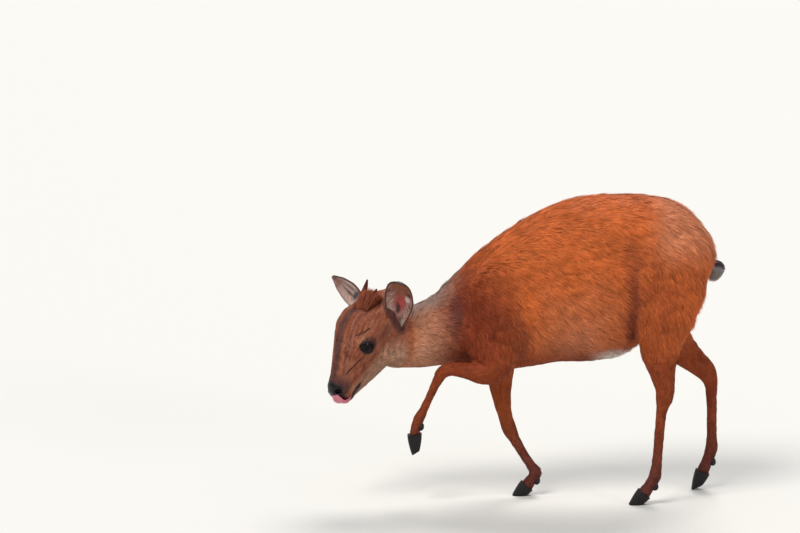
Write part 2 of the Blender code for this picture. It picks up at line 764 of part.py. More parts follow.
def tongue():
    """A flat tongue that leaves the mouth and curls up over the front of the lip."""
    stations = (
        (0.150, -0.0378, 0.001, 0.0013, 0.0085),
        (0.165, -0.0366, 0.003, 0.0014, 0.0098),
        (0.1768, -0.0350, 0.0045, 0.0016, 0.0108),
        (0.1830, -0.0308, 0.0050, 0.0019, 0.0108),
        (0.1838, -0.0242, 0.0045, 0.0018, 0.0092),
        (0.1808, -0.0180, 0.0035, 0.0013, 0.0055),
    )
    rings = []
    rows = smooth_rows(stations, 2)
    for k, (f, u, l, thick, half) in enumerate(rows):
        before, after = rows[max(k - 1, 0)], rows[min(k + 1, len(rows) - 1)]
        along = (on_head(*after[:3]) - on_head(*before[:3])).normalized()
        up = LEFT.cross(along).normalized()
        rings.append(power_ring(on_head(f, u, l), up, LEFT, thick, thick, half, 2.2, 2.2, 12))
    return add_object("tongue", loft(rings), "tongue")


def claw(leg, side_name):
    """One half of a cloven hoof, cut flat at its sole."""
    middle, down, sole, reach = FEET[leg]
    middle, down, sole = Vector(middle), Vector(down).normalized(), Vector(sole).normalized()
    sign = -1 if side_name == "outer" else 1
    if leg.endswith("right"):
        sign = -sign
    side = Vector((0, 1, 0)) * sign
    toe = side.cross(down).normalized()
    if toe.x > 0:
        toe = -toe
    rings = []
    for k in range(6):
        t = k / 5
        place = middle + down * (GAP + CLAW_LENGTH * t)
        depth = CLAW_HALF_DEPTH * (1.0 - 0.60 * t**1.6)
        half = CLAW_HALF_WIDTH * (1.0 - 0.50 * t**1.8)
        place = place + toe * (0.0020 * t) + side * (CLEFT / 2 + half)
        rings.append(power_ring(place, toe, side, depth, depth, half, 2.4, 2.0, 12))
    bm = loft(rings)
    planes = [(Vector((0, 0, 0)), Vector((0, 0, -1)))]
    if reach is not None:
        planes = [(middle + down * reach * 0.72, sole)]
    elif sole.z > -0.999:
        planes.append((middle + down * CLAW_LENGTH * 0.80, sole))
    for point, normal in planes:
        geometry = bm.verts[:] + bm.edges[:] + bm.faces[:]
        cut = bmesh.ops.bisect_plane(bm, geom=geometry, plane_co=point, plane_no=normal,
                                     clear_outer=True)
        edges = [e for e in cut["geom_cut"] if isinstance(e, bmesh.types.BMEdge)]
        if edges:
            bmesh.ops.holes_fill(bm, edges=edges)
    bmesh.ops.triangulate(bm, faces=bm.faces)
    return add_object(f"{leg}_hoof_{side_name}", bm, "hoof")


def dew_claw(leg, side_name, pastern):
    """A small blunt claw behind the fetlock."""
    stations = LEGS[leg]
    fetlock = Vector(stations[-3][0])
    below = Vector(stations[-2][0])
    down = (below - fetlock).normalized()
    sign = -1 if side_name == "outer" else 1
    if leg.endswith("right"):
        sign = -sign
    side = Vector((0, sign, 0))
    back = side.cross(down).normalized()
    if back.x < 0:
        back = -back
    deep = stations[-3][1]
    middle = below + back * (deep * 0.86) + side * 0.0052
    bm = ball(middle, (0.0046, 0.0032, 0.0056), (back, side, down), 6, 8)
    item = add_object(f"{leg}_dewclaw_{side_name}", bm, "hoof")
    boolean(item, [grown(pastern, GAP)], "DIFFERENCE")
    keep_largest(item)


def tail():
    """The dock with its tuft of flat tapered locks."""
    rng = np.random.default_rng(11)
    stations = [(place, thick, thick) for place, thick in TAIL]
    item = add_object("tail", tube(stations, 12, 2), "tail_coat")
    points = [row[:3] for row in smooth_rows([(*place, thick) for place, thick in TAIL], 4)]
    locks = []
    for k in range(TAIL_LOCKS):
        place = 6 + int(9 * k / TAIL_LOCKS)
        root = Vector(points[place])
        along = (Vector(points[place + 1]) - root).normalized()
        turn = 2.399 * k
        out = Matrix.Rotation(turn, 3, along) @ along.orthogonal().normalized()
        tip = root + along * rng.uniform(0.024, 0.032) + out * rng.uniform(0.009, 0.012)
        tip.z -= 0.006
        locks.append(add_object("tail_lock", lock(
            root, tip, 0.0085, 0.0030, 0.002, along.cross(out))))
    boolean(item, locks, "UNION")
    keep_largest(item)
    return item


def seat(item, *others):
    """Cuts the root of item to the surface that it grows from, with the gap between."""
    boolean(item, [grown(other, GAP) for other in others], "DIFFERENCE")
    keep_largest(item)


def settle():
    """Moves the whole animal so that the middle of its length and width is over the
    origin and its soles are at z = 0."""
    points = [vert.co for item in bpy.data.objects for vert in item.data.vertices]
    low = Vector([min(point[k] for point in points) for k in range(3)])
    high = Vector([max(point[k] for point in points) for k in range(3)])
    middle = (low + high) / 2
    for item in bpy.data.objects:
        item.data.transform(Matrix.Translation((-middle.x, -middle.y, -low.z)))


def main():
    clear_scene()
    nodes = part_body(fused("body", body_forms()))
    skull = nodes["head"]
    head_node(skull)
    for name in ("left", "right"):
        seat(ear(name), skull, nodes["neck"])
        seat(horn(name), skull)
        sign = 1 if name == "left" else -1
        add_object("eye_" + name, ball(on_head(EYE[0], EYE[1], sign * EYE[2]),
                                       (EYE_RADIUS,) * 3, None, 10, 16), "eye")
    seat(tongue(), skull)
    seat(tail(), nodes["torso"])
    for leg in LEGS:
        for name in ("outer", "inner"):
            claw(leg, name)
            dew_claw(leg, name, nodes[leg + "_pastern"])
    settle()
    for item in bpy.data.objects:
        item.data.shade_smooth()
        item.data.set_sharp_from_angle(angle=math.radians(50))


main()
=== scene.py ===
# %% [markdown]
# # Red forest duiker
# A duiker is a small forest antelope: an arched back, thin legs, and a short coat of
# chestnut hair. A stuffed toy or a statue could be one sculpted shape with a painted
# surface, but hair catches the light strand by strand and breaks the outline, which
# paint can't do. So the animal is dressed as a model maker would: one skin over the
# whole body, a coat of mesh tufts set into it, then the finer pieces of the face.
# The solids of the animal are loaded first, and every piece sits where they are.

# %% Load the solids
import math

import bmesh
import bpy
import numpy as np
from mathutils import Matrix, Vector


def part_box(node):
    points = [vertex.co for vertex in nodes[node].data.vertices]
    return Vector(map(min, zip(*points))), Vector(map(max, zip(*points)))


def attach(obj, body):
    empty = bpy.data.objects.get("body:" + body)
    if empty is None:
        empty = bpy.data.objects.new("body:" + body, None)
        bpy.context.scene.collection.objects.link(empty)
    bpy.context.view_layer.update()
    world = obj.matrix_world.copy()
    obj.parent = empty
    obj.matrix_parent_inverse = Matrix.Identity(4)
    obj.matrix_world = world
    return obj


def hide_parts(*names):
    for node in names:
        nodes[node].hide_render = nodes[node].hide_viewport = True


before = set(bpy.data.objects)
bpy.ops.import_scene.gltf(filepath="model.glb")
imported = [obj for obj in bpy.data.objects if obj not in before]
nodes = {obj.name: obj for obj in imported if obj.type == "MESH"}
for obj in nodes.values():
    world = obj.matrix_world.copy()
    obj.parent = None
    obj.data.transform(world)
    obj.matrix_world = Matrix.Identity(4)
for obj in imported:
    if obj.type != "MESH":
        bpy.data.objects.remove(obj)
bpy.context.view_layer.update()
MM = 0.001

# %% [markdown]
# ## The head's own axes
# The head is turned towards us, nodded and tilted. Its features could be placed in the
# room's own axes, but then every number would mix three angles. They are placed along
# three axes of the head instead: forward to the nose, up from the forehead and out of
# the left cheek. The two eyes of the loaded solids fix where the head is.

# %% Head axes
# all of the head's places are in metres from the poll, the top of the skull
HEAD_TURN, HEAD_NOD, HEAD_TILT = (math.radians(angle) for angle in (32.0, 56.0, 8.0))
EYE_AT = (0.0885, -0.0030, 0.0252)
EYE_RADIUS = 13.6 * MM
NOSTRIL = (0.1695, -0.0118, 0.0145)
POLL = np.array((-0.2225, -0.024, 0.329))


def turned(vector, axis, angle):
    """The vector turned about an axis by an angle."""
    vector, axis = np.array(vector, float), np.array(axis, float)
    return (vector * math.cos(angle) + np.cross(axis, vector) * math.sin(angle)
            + axis * axis.dot(vector) * (1 - math.cos(angle)))


ct, st = math.cos(HEAD_TURN), math.sin(HEAD_TURN)
cn, sn = math.cos(HEAD_NOD), math.sin(HEAD_NOD)
FORWARD = np.array((-ct * cn, -st * cn, -sn))
UP = turned((-ct * sn, -st * sn, cn), FORWARD, -HEAD_TILT)
LEFT = turned((st, -ct, 0.0), FORWARD, -HEAD_TILT)


def middle_of(name):
    """The middle of a loaded solid's box."""
    low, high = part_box(name)
    return (np.array(low) + np.array(high)) / 2


eye_middle = (middle_of("eye_left") + middle_of("eye_right")) / 2
SHIFT = POLL + FORWARD * EYE_AT[0] + UP * EYE_AT[1] - eye_middle
print("the frame is", np.round(SHIFT / MM, 2), "mm from the drawing's")


def on_head(forward, up, left=0.0):
    """A point of the head in the solids' frame."""
    return POLL - SHIFT + FORWARD * forward + UP * up + LEFT * left


def head_way(forward, up, left):
    """A direction in the head's axes, one unit long."""
    way = FORWARD * forward + UP * up + LEFT * left
    return way / np.linalg.norm(way)


def head_place(points):
    """Forward, up and left of each point in the head's axes."""
    away = points + SHIFT - POLL
    return away @ FORWARD, away @ UP, away @ LEFT


# %% [markdown]
# ## Small helpers
# Half a million tufts are placed by arrays of numbers, not one by one, so the helpers
# work on whole arrays. `smooth` is the usual soft step. `waves` is a cheap smooth noise:
# a few sine waves with seeded directions, where a true noise would have to be asked
# point by point. `mesh_from` turns arrays of points and faces into a mesh.

# %% Helpers
def smooth(low, high, value):
    """0 below low, 1 above high, with a soft bend between."""
    t = np.clip((value - low) / (high - low), 0.0, 1.0)
    return t * t * (3 - 2 * t)


def waves(points, size, seed, count=7):
    """Smooth noise from about -1 to 1 whose bumps are about size across."""
    rng = np.random.default_rng(seed)
    total = np.zeros(len(points))
    for _ in range(count):
        way = rng.normal(size=3)
        way *= 2 * math.pi / (size * rng.uniform(0.7, 1.8)) / np.linalg.norm(way)
        total += np.sin(points @ way + rng.uniform(0, 2 * math.pi))
    return total / math.sqrt(count)


def unit(vectors):
    return vectors / np.maximum(np.linalg.norm(vectors, axis=-1, keepdims=True), 1e-9)


def smooth_curve(rows, count):
    """A smooth curve through rows of numbers, read at count places."""
    rows = np.array(rows, float)
    at = np.linspace(0, len(rows) - 1, count)
    k = np.minimum(at.astype(int), len(rows) - 2)
    t = (at - k)[:, None]
    before, after = rows[np.maximum(k - 1, 0)], rows[np.minimum(k + 2, len(rows) - 1)]
    start, end = (rows[k + 1] - before) / 2, (after - rows[k]) / 2
    return ((1 + 2 * t) * (1 - t) ** 2 * rows[k] + t * (1 - t) ** 2 * start
            + t * t * (3 - 2 * t) * rows[k + 1] + t * t * (t - 1) * end)


def new_object(name, mesh):
    made = bpy.data.objects.new(name, mesh)
    bpy.context.scene.collection.objects.link(made)
    return made


def mesh_from(name, points, faces):
    """A mesh from arrays of points and of faces that all have as many corners."""
    mesh = bpy.data.meshes.new(name)
    faces = np.asarray(faces, np.int32)
    count, corners = faces.shape
    mesh.vertices.add(len(points))
    mesh.vertices.foreach_set("co", np.asarray(points, np.float32).ravel())
    mesh.loops.add(count * corners)
    mesh.loops.foreach_set("vertex_index", faces.ravel())
    mesh.polygons.add(count)
    mesh.polygons.foreach_set("loop_start", np.arange(0, count * corners, corners, dtype=np.int32))
    mesh.update(calc_edges=True)
    mesh.polygons.foreach_set("use_smooth", np.ones(count, bool))
    return mesh


# points and normals go in and out of meshes as arrays
def points_of(mesh):
    found = np.empty(len(mesh.vertices) * 3, np.float32)
    mesh.vertices.foreach_get("co", found)
    return found.reshape(-1, 3).astype(float)


def normals_of(mesh):
    found = np.empty(len(mesh.vertices) * 3, np.float32)
    mesh.vertices.foreach_get("normal", found)
    return found.reshape(-1, 3).astype(float)


def set_points(mesh, points):
    mesh.vertices.foreach_set("co", points.astype(np.float32).ravel())
    mesh.update()


def closed_loft(name, rings, triangles=True):
    """A closed mesh over rings of equally many points, with its two ends filled."""
    rings = np.asarray(rings)
    rows, around, _ = rings.shape
    index = np.arange(rows * around).reshape(rows, around)
    after = np.roll(index, -1, axis=1)
    faces = np.stack([index[:-1], after[:-1], after[1:], index[1:]], -1).reshape(-1, 4)
    mesh = mesh_from(name, rings.reshape(-1, 3), faces)
    work = bmesh.new()
    work.from_mesh(mesh)
    caps = bmesh.ops.holes_fill(work, edges=[e for e in work.edges if e.is_boundary])["faces"]
    if triangles:
        bmesh.ops.triangulate(work, faces=caps)
    bmesh.ops.recalc_face_normals(work, faces=work.faces)
    work.to_mesh(mesh)
    work.free()
    return mesh


def applied(item):
    """Turns the modifiers of item into its mesh."""
    graph = bpy.context.evaluated_depsgraph_get()
    mesh = bpy.data.meshes.new_from_object(item.evaluated_get(graph))
    item.modifiers.clear()
    item.data = mesh


def set_attribute(mesh, name, values):
    """Three numbers for every vertex, which the materials read by name."""
    values = np.column_stack([np.asarray(values)[:, :3], np.ones(len(values))])
    layer = mesh.attributes.new(name, "FLOAT_COLOR", "POINT")
    layer.data.foreach_set("color", values.astype(np.float32).ravel())


def set_marks(mesh, masks):
    """The four masks of the markings."""
    set_attribute(mesh, "marks", masks)
    layer = mesh.attributes.new("white", "FLOAT", "POINT")
    layer.data.foreach_set("value", masks[:, 3].astype(np.float32))


# %% [markdown]
# ## Markings
# The coat is orange-chestnut on the back and flanks, deeper red on shoulder, haunch and
# legs, pale on the cheek, throat and lower flank, and grey-mauve on the nape. A dark
# blaze runs down the face. A picture could be painted on, but skin and hair would then
# need two pictures that agree. Here both are painted by the same functions of place.
# `marks` gives four masks: pale hair, dark grey-mauve hair, red hair and white hair.
# Some of them paint light and shade too: the paler rump is painted light, and the dark
# and red in the creases, the dark where the neck meets the shoulder, the red under the
# belly and part of the deep red of the shoulder are painted shade.

# %% Markings
# each leg, from its top down to its foot
LEG_LINES = (
    ((-0.050, -0.055, 0.240), (-0.046, -0.060, 0.212), (-0.088, -0.059, 0.211),
     (-0.126, -0.058, 0.208), (-0.146, -0.056, 0.170), (-0.162, -0.054, 0.136),
     (-0.170, -0.054, 0.110)),
    ((-0.046, 0.046, 0.230), (-0.037, 0.041, 0.176), (-0.029, 0.027, 0.122), (-0.002, 0.014, 0.066),
     (0.018, 0.009, 0.036), (0.005, 0.008, 0.016)),
    ((0.207, -0.056, 0.240), (0.213, -0.058, 0.175), (0.206, -0.058, 0.110), (0.200, -0.058, 0.045),
     (0.184, -0.058, 0.018)),
    ((0.234, 0.047, 0.236), (0.284, 0.051, 0.186), (0.293, 0.052, 0.110), (0.292, 0.052, 0.060),
     (0.280, 0.052, 0.029)),
)


def bump(value, middle, reach):
    """1 at the middle, 0 at the reach on either side."""
    return 1 - smooth(0.0, 1.0, np.abs(value - middle) / reach)


def head_share(points):
    """1 on the head, 0 behind the plane that parts it from the neck."""
    f, u, _ = head_place(points)
    return smooth(-0.012, 0.004, 0.475 * (f - 0.041) + 0.88 * (u + 0.050)) * smooth(-0.03, -0.01, f)


# the blaze: place down the face and half width
BLAZE = ((0.03, 0.0085), (0.046, 0.0100), (0.074, 0.0109), (0.100, 0.0085), (0.124, 0.0068),
         (0.157, 0.0073))


def blaze_half(f):
    """Half width of the dark blaze down the face."""
    return np.interp(f, *np.array(BLAZE).T)


def line_gap(points, line):
    """How far each point is from a line of straight pieces."""
    line = np.array(line, float)
    best = np.full(len(points), 9.0)
    for start, end in zip(line[:-1], line[1:]):
        run = end - start
        share = np.clip((points - start) @ run / run.dot(run), 0, 1)
        best = np.minimum(best, np.linalg.norm(points - start - share[:, None] * run, axis=1))
    return best


def creases(q):
    """0 to 1 in the creases in front of the thigh and on both sides of the shoulder, where the skin is
    pressed in and the coat is darkened as painted shade.
    """
    x, y, z = q[:, 0], q[:, 1], q[:, 2]
    side = smooth(0.020, 0.045, np.abs(y))
    sway = waves(q, 0.06, 12) * 0.004
    thigh = bump(x + sway, 0.160 + 0.10 * (0.30 - z) * (z < 0.30), 0.024) * smooth(
        0.235, 0.27, z) * (1 - 0.75 * smooth(0.28, 0.44, z)) * (1 - smooth(0.42, 0.46, z))
    shoulder = bump(x + sway, -0.006 - 0.25 * np.clip(z - 0.27, 0, 1), 0.022) * smooth(
        0.205, 0.225, z) * (1 - smooth(0.27, 0.33, z))
    front = bump(x + sway, -0.110, 0.014) * smooth(0.262, 0.285, z) * (1 - smooth(0.310, 0.330, z))
    return side * np.maximum.reduce([thigh, 0.7 * shoulder, 0.7 * front])


def face_cuts(points):
    """0 to 1 in the nostrils, the mouth, the slit glands and the brow creases."""
    f, u, l = head_place(points)
    side = np.abs(l)
    local = np.stack([f - NOSTRIL[0], u - NOSTRIL[1], side - NOSTRIL[2]], 1)
    along, deep = unit(np.array((-0.60, -0.45, 0.65))), unit(np.array((0.35, 0.60, 0.70)))
    gap = np.hypot(local @ along / 0.0062, local @ np.cross(along, deep) / 0.0042)
    nostril = (1 - smooth(0.55, 1.05, gap)) * (np.abs(local @ deep) < 0.009)
    mouth = bump(u, -0.0395 + (f - 0.140) * 0.10, 0.0019) * smooth(0.138, 0.141, f)
    slit = bump(u, -0.0075 + (f - 0.126) * 0.10, 0.0021) * smooth(0.108, 0.113, f) * (
        1 - smooth(0.139, 0.145, f)) * (side > 0.010)
    brow = bump(u, 0.0117 + (f - 0.0652) * 0.36, 0.0034) * smooth(0.060, 0.068, f) * (
        1 - smooth(0.084, 0.091, f)) * (side > 0.018)
    return nostril, mouth, slit, brow


def strongest(shares, **parts):
    """Each named part times its share, and the largest of them at every point."""
    return np.maximum.reduce([shares[name] * part for name, part in parts.items()])


# how strong each marking is, from 0 to 1
PALE_BODY = {"throat": 0.60, "neck": 0.44, "flank": 0.24, "rump": 0.30, "nape": 0.66}
PALE_HEAD = {"cheek": 0.95, "chin": 0.85, "lip": 0.60, "brow": 0.50}
DARK_HEAD = {"blaze": 0.76, "muzzle": 0.84, "lower_lip": 0.90, "eye_ring": 0.7, "slit": 0.9,
             "crease": 0.80, "temple": 0.50}
DARK_BODY = {"ear_root": 0.8, "nape": 0.70, "smudge": 0.50, "foot": 0.60, "folds": 0.28}
RED = {"stripe": 0.9, "face": 0.55, "shoulder": 0.9, "haunch": 0.50, "crown": 0.7,
       "trunk_leg": 0.48, "limb": 0.75, "belly": 0.75, "folds": 0.8}
WHITE = {"groin": 0.95, "nape": 0.09}
# the top line from the head to the withers: place along the body and height
NAPE_LINE = ((-0.200, 0.300), (-0.172, 0.307), (-0.140, 0.320), (-0.110, 0.350), (-0.080, 0.382))


def marks(points):
    """The pale, dark, red and white masks at each point."""
    q = points + SHIFT
    x, y, z = q[:, 0], q[:, 1], q[:, 2]
    f, u, l = head_place(points)
    wobble = waves(q, 0.05, 3) * 0.006
    fine = waves(q, 0.012, 4) * 0.0005
    streak = np.clip(waves(np.stack([f * 0.2, u, l], 1), 0.007, 21), -0.8, 1.5)
    head = head_share(points)
    body = 1 - head
    # pale hair: throat and neck, the lower flank, the cheek, chin and upper lip
    limb = 1 - smooth(0.021, 0.030, line_gap(q, LEG_LINES[0][1:]))
    throat = (1 - smooth(0.235, 0.290, z + wobble)) * (1 - smooth(-0.16, -0.10, x)) * body
    neck = (1 - smooth(0.285, 0.320, z + wobble)) * (1 - smooth(-0.16, -0.09, x)) * body
    flank = bump(x + wobble, 0.080, 0.095) * smooth(0.215, 0.255, z) * (
        1 - smooth(0.26, 0.37, z + wobble * 2)) * smooth(-0.010, 0.012, x) * (
        1 - smooth(0.145, 0.160, x))
    cheek = bump(np.hypot(f - 0.081, u + 0.050 + wobble * 0.4), 0.0, 0.036)
    jaw = 0.8 * smooth(-0.020, -0.046, u) * smooth(0.035, 0.080, f)
    cheek = np.maximum(cheek, jaw) * (1 - smooth(0.150, 0.172, f))
    chin = smooth(-0.034, -0.044, u) * smooth(0.10, 0.13, f)
    lip = bump(u, -0.031, 0.008) * smooth(0.136, 0.148, f) * (
        1 - smooth(0.158, 0.168, f)) * smooth(0.006, 0.012, np.abs(l))
    # painted light: the top of the rump paler where the light falls on it
    rump = smooth(0.17, 0.22, x) * smooth(0.36, 0.42, z)
    brow = bump(u, 0.0105, 0.0055) * bump(f, 0.088, 0.020) * smooth(0.020, 0.028, np.abs(l))
    groin = bump(x, 0.140, 0.050) * (1 - smooth(0.230, 0.248, z)) * (
        1 - smooth(0.045, 0.070, np.abs(y)))
    # dark hair: the blaze, the muzzle, round the eyes, the ear roots, the nape and the feet
    wide = blaze_half(f)
    blaze = (1 - smooth(wide * 0.35, wide * 1.60, np.abs(l + wobble * 0.3 + fine))) * smooth(
        0.026, 0.044, f) * smooth(-0.02, -0.008, u)
    muzzle = smooth(0.132, 0.160, f) * smooth(-0.030, -0.020, u)
    lower_lip = bump(u - (f - 0.140) * 0.10, -0.0425, 0.0065) * smooth(0.138, 0.146, f)
    socket = np.linalg.norm(np.stack(
        [f - EYE_AT[0], (u - EYE_AT[1]) * 1.15, np.abs(l) - 0.036], 1), axis=1)
    eye_ring = 1 - smooth(0.0135, 0.0185, socket)
    _, _, slit, crease = face_cuts(points)
    ear_root = (1 - smooth(0.006, 0.014, line_gap(np.stack([f, u, np.abs(l) * 0.4], 1), (
        (0.024, -0.006, 0.015), (0.040, -0.034, 0.016))))) * smooth(0.018, 0.028, np.abs(l))
    temple = bump(np.hypot(f - 0.058, u + 0.016), 0, 0.030) * smooth(0.02, 0.03, np.abs(l))
    top = np.interp(x, *np.array(NAPE_LINE).T)
    nape = smooth(-0.036, -0.008, z - top + wobble) * (
        1 - smooth(-0.15, -0.075, x + 2 * wobble)) * body
    white = strongest(WHITE, groin=groin, nape=nape)
    # painted shade: a soft dark patch where the neck meets the shoulder
    smudge = bump(np.hypot((x + 0.109) / 0.026, (z - 0.298) / 0.050), 0, 1) * body
    pale = (1 - limb) * np.maximum(
        strongest(PALE_BODY, throat=throat, neck=neck, flank=flank, rump=rump, nape=nape),
        head * np.maximum(strongest(PALE_HEAD, cheek=cheek, chin=chin, lip=lip, brow=brow),
                          0.19 - 0.10 * streak))
    foot = 1 - smooth(0.030, 0.150, z + wobble)
    leg = 1 - smooth(0.205, 0.262, z + wobble)
    lifted = (x < -0.10) & (y < -0.03) & (z < 0.24)
    foot = np.where(lifted, 1 - smooth(0.095, 0.150, z), foot)
    trunk_leg = leg * (1 - bump(x, 0.075, 0.085)) * body * smooth(-0.19, -0.165, x)
    # painted shade: the coat darker and redder in the creases of thigh and shoulder
    folds = creases(q) * body
    dark = np.maximum(
        head * np.maximum(strongest(
            DARK_HEAD, blaze=blaze, muzzle=muzzle, lower_lip=lower_lip, eye_ring=eye_ring,
            slit=slit, crease=crease, temple=temple), 0.25 + 0.14 * streak),
        strongest(DARK_BODY, ear_root=ear_root, nape=nape, smudge=smudge, foot=foot * body,
                  folds=folds))
    # red hair: beside the blaze, crown, shoulder, haunch and legs
    stripe = bump(np.abs(l), wide + 0.010, 0.013) * smooth(0.03, 0.05, f) * (
        1 - smooth(0.14, 0.16, f)) * smooth(-0.03, -0.008, u)
    # deep red over the shoulder and upper arm: partly the coat's own deeper red, partly painted shade
    # from the light above
    shoulder = (1 - smooth(0.30, 1.0, np.hypot((x + 0.085) / 0.115, (z - 0.272) / 0.140))) * (
        1 - smooth(-0.016, 0.000, x))
    haunch = bump(np.hypot((x - 0.205) / 0.085, (z - 0.30) / 0.15), 0.0, 1.0) * smooth(0.150, 0.160, x)
    # painted shade: the coat redder and darker low on the trunk, under the belly
    belly = (1 - smooth(0.215, 0.280, z + wobble)) * smooth(-0.04, 0.0, x)
    crown = smooth(0.002, 0.012, u) * (1 - smooth(0.05, 0.07, f))
    red = strongest(RED, stripe=stripe * head, face=head, shoulder=shoulder * body,
                    haunch=haunch, crown=crown * head, trunk_leg=trunk_leg,
                    limb=limb * body, belly=belly, folds=folds)
    return np.clip(np.stack([pale, dark, red, white], 1), 0, 1)


# %% [markdown]
# ## One skin
# A living skin has no joins, but the solids of the flesh are parted by thin cuts. A new
# body could be sculpted over them, at the risk of drifting from their shape. So the
# solids themselves are swollen a hair's breadth, joined and remeshed into one closed
# skin, and no cut shows. It is then drawn in by the depth of the coat, which is deep on
# the trunk and thin on the face and feet. The nostrils, the mouth, the slit glands below
# the eyes, the brow creases and the folds of the legs are pressed into it as shape.

# %% Skin
LEGS = ("foreleg_left", "foreleg_right", "hindleg_left", "hindleg_right")
flesh = ["head", "neck", "torso"]
for leg in LEGS:
    flesh += [leg + ("_forearm" if leg.startswith("fore") else "_gaskin"), leg + "_cannon",
              leg + "_pastern"]
# the cuts between solids are 0.3 mm, so each side swells to close them
SWELL, SKIN_VOXEL, SOFTENINGS = 0.25 * MM, 1.7 * MM, 4
# along the crown: place, top, widest level, half width and fullness
HEAD_TOP = ((-0.010, -0.012, -0.034, 0.016, 2.0), (0.002, 0.000, -0.032, 0.025, 2.1),
            (0.020, 0.011, -0.026, 0.034, 2.2), (0.038, 0.0235, -0.020, 0.0395, 2.3),
            (0.055, 0.0320, -0.014, 0.0415, 2.3), (0.072, 0.0335, -0.008, 0.0400, 2.2))


def crown(f, l):
    """The level of the top of the head, without its tuft of hair."""
    rows = np.array(HEAD_TOP).T
    top, wide, half, full = (np.interp(f, rows[0], row) for row in rows[1:])
    return wide + (top - wide) * (1 - np.clip(np.abs(l) / half, 0, 0.98) ** full) ** (1 / full)


def lowered(points):
    """The solids' crest locks brought down to the crown, where finer ones are set later."""
    f, u, l = head_place(points)
    over = (u - crown(f, l)) * (np.abs(l) < 0.022) * (f > -0.03) * (f < 0.066)
    return points - np.outer(np.maximum(over, 0), UP)


def finer(mesh, wanted):
    """The mesh with every face of wanted points cut into four."""
    work = bmesh.new()
    work.from_mesh(mesh)
    work.verts.ensure_lookup_table()
    faces = [face for face in work.faces if all(wanted[vert.index] for vert in face.verts)]
    edges = {edge for face in faces for edge in face.edges}
    bmesh.ops.subdivide_edges(work, edges=list(edges), cuts=1, use_grid_fill=True)
    work.to_mesh(mesh)
    work.free()


def eye_gap(points):
    """How far each point is from the middle of the eye on its own side."""
    f, u, l = head_place(points)
    away = np.stack([f - EYE_AT[0], u - EYE_AT[1], np.abs(l) - EYE_AT[2]], 1)
    return np.linalg.norm(away, axis=1)


def skin_mesh():
    """The joined solids of flesh as one closed surface."""
    joined = bmesh.new()
    for name in flesh:
        part = bmesh.new()
        part.from_mesh(nodes[name].data)
        bmesh.ops.remove_doubles(part, verts=part.verts, dist=0.01 * MM)
        part.normal_update()
        for vert in part.verts:
            vert.co += vert.normal * SWELL
        mesh = bpy.data.meshes.new("part")
        part.to_mesh(mesh)
        part.free()
        if name == "head":
            set_points(mesh, lowered(points_of(mesh)))
        joined.from_mesh(mesh)
        bpy.data.meshes.remove(mesh)
    mesh = bpy.data.meshes.new("skin")
    joined.to_mesh(mesh)
    joined.free()
    item = new_object("skin", mesh)
    step = item.modifiers.new("one_skin", "REMESH")
    step.mode = "VOXEL"
    step.voxel_size = SKIN_VOXEL
    step.use_smooth_shade = True
    step = item.modifiers.new("soften", "SMOOTH")
    step.factor = 0.5
    step.iterations = SOFTENINGS
    applied(item)
    return item


# how deep the coat is at the feet and what it gains up to the trunk
DEPTH_LOW, DEPTH_GAIN = 1.2 * MM, 3.4 * MM


def coat_depth(points):
    """How far the coat stands off the skin."""
    z = (points + SHIFT)[:, 2]
    f = head_place(points)[0]
    head = head_share(points)
    depth = DEPTH_LOW + DEPTH_GAIN * smooth(0.19, 0.29, z)
    on_face = (1.0 + 1.4 * (1 - smooth(0.02, 0.09, f))) * MM
    depth = depth * (1 - head) + on_face * head
    bare = smooth(0.158, 0.166, f) * head
    near_eye = 1 - smooth(EYE_RADIUS + 0.5 * MM, EYE_RADIUS + 4 * MM, eye_gap(points))
    return depth * (1 - 0.85 * np.maximum(bare, near_eye))


skin = skin_mesh()
skin_points = points_of(skin.data)
f, u, l = head_place(skin_points)
near_eye = eye_gap(skin_points) < EYE_RADIUS + 7 * MM
finer(skin.data, (head_share(skin_points) > 0.5) & ((f > 0.104) | near_eye))
print("joined into", len(skin.data.polygons), "faces")

# %% Features pressed into the skin
MOUTH_DEEP, SLIT_DEEP, BROW_DEEP, NOSTRIL_DEEP, FOLD_DEEP = (
    depth * MM for depth in (1.6, 1.2, 0.8, 4.5, 2.6))
skin_points = points_of(skin.data)
skin_normals = normals_of(skin.data)
share = head_share(skin_points)
nostril, mouth, slit, brow = face_cuts(skin_points)
cut = MOUTH_DEEP * mouth + SLIT_DEEP * slit + BROW_DEEP * brow
skin_points -= skin_normals * (coat_depth(skin_points) + share * cut)[:, None]
skin_points -= skin_normals * ((1 - share) * creases(skin_points + SHIFT) * FOLD_DEEP)[:, None]
side_of = np.sign(head_place(skin_points)[2])
inward = unit(FORWARD * 0.35 + UP * 0.60 + np.outer(side_of, LEFT) * 0.70)
skin_points -= inward * (share * nostril * NOSTRIL_DEEP)[:, None]
set_points(skin.data, skin_points)
print("skin of", len(skin.data.polygons), "faces")

# %% [markdown]
# ## The lie of the coat
# Hair doesn't stand straight out: it runs back along the neck and ribs, down the legs,
# and from the nose up the face. It could be combed by hand with a particle brush, which
# a script can't repeat. So its direction is written down at a few dozen places, and
# every root takes a blend of the nearest of them, laid flat on the skin.

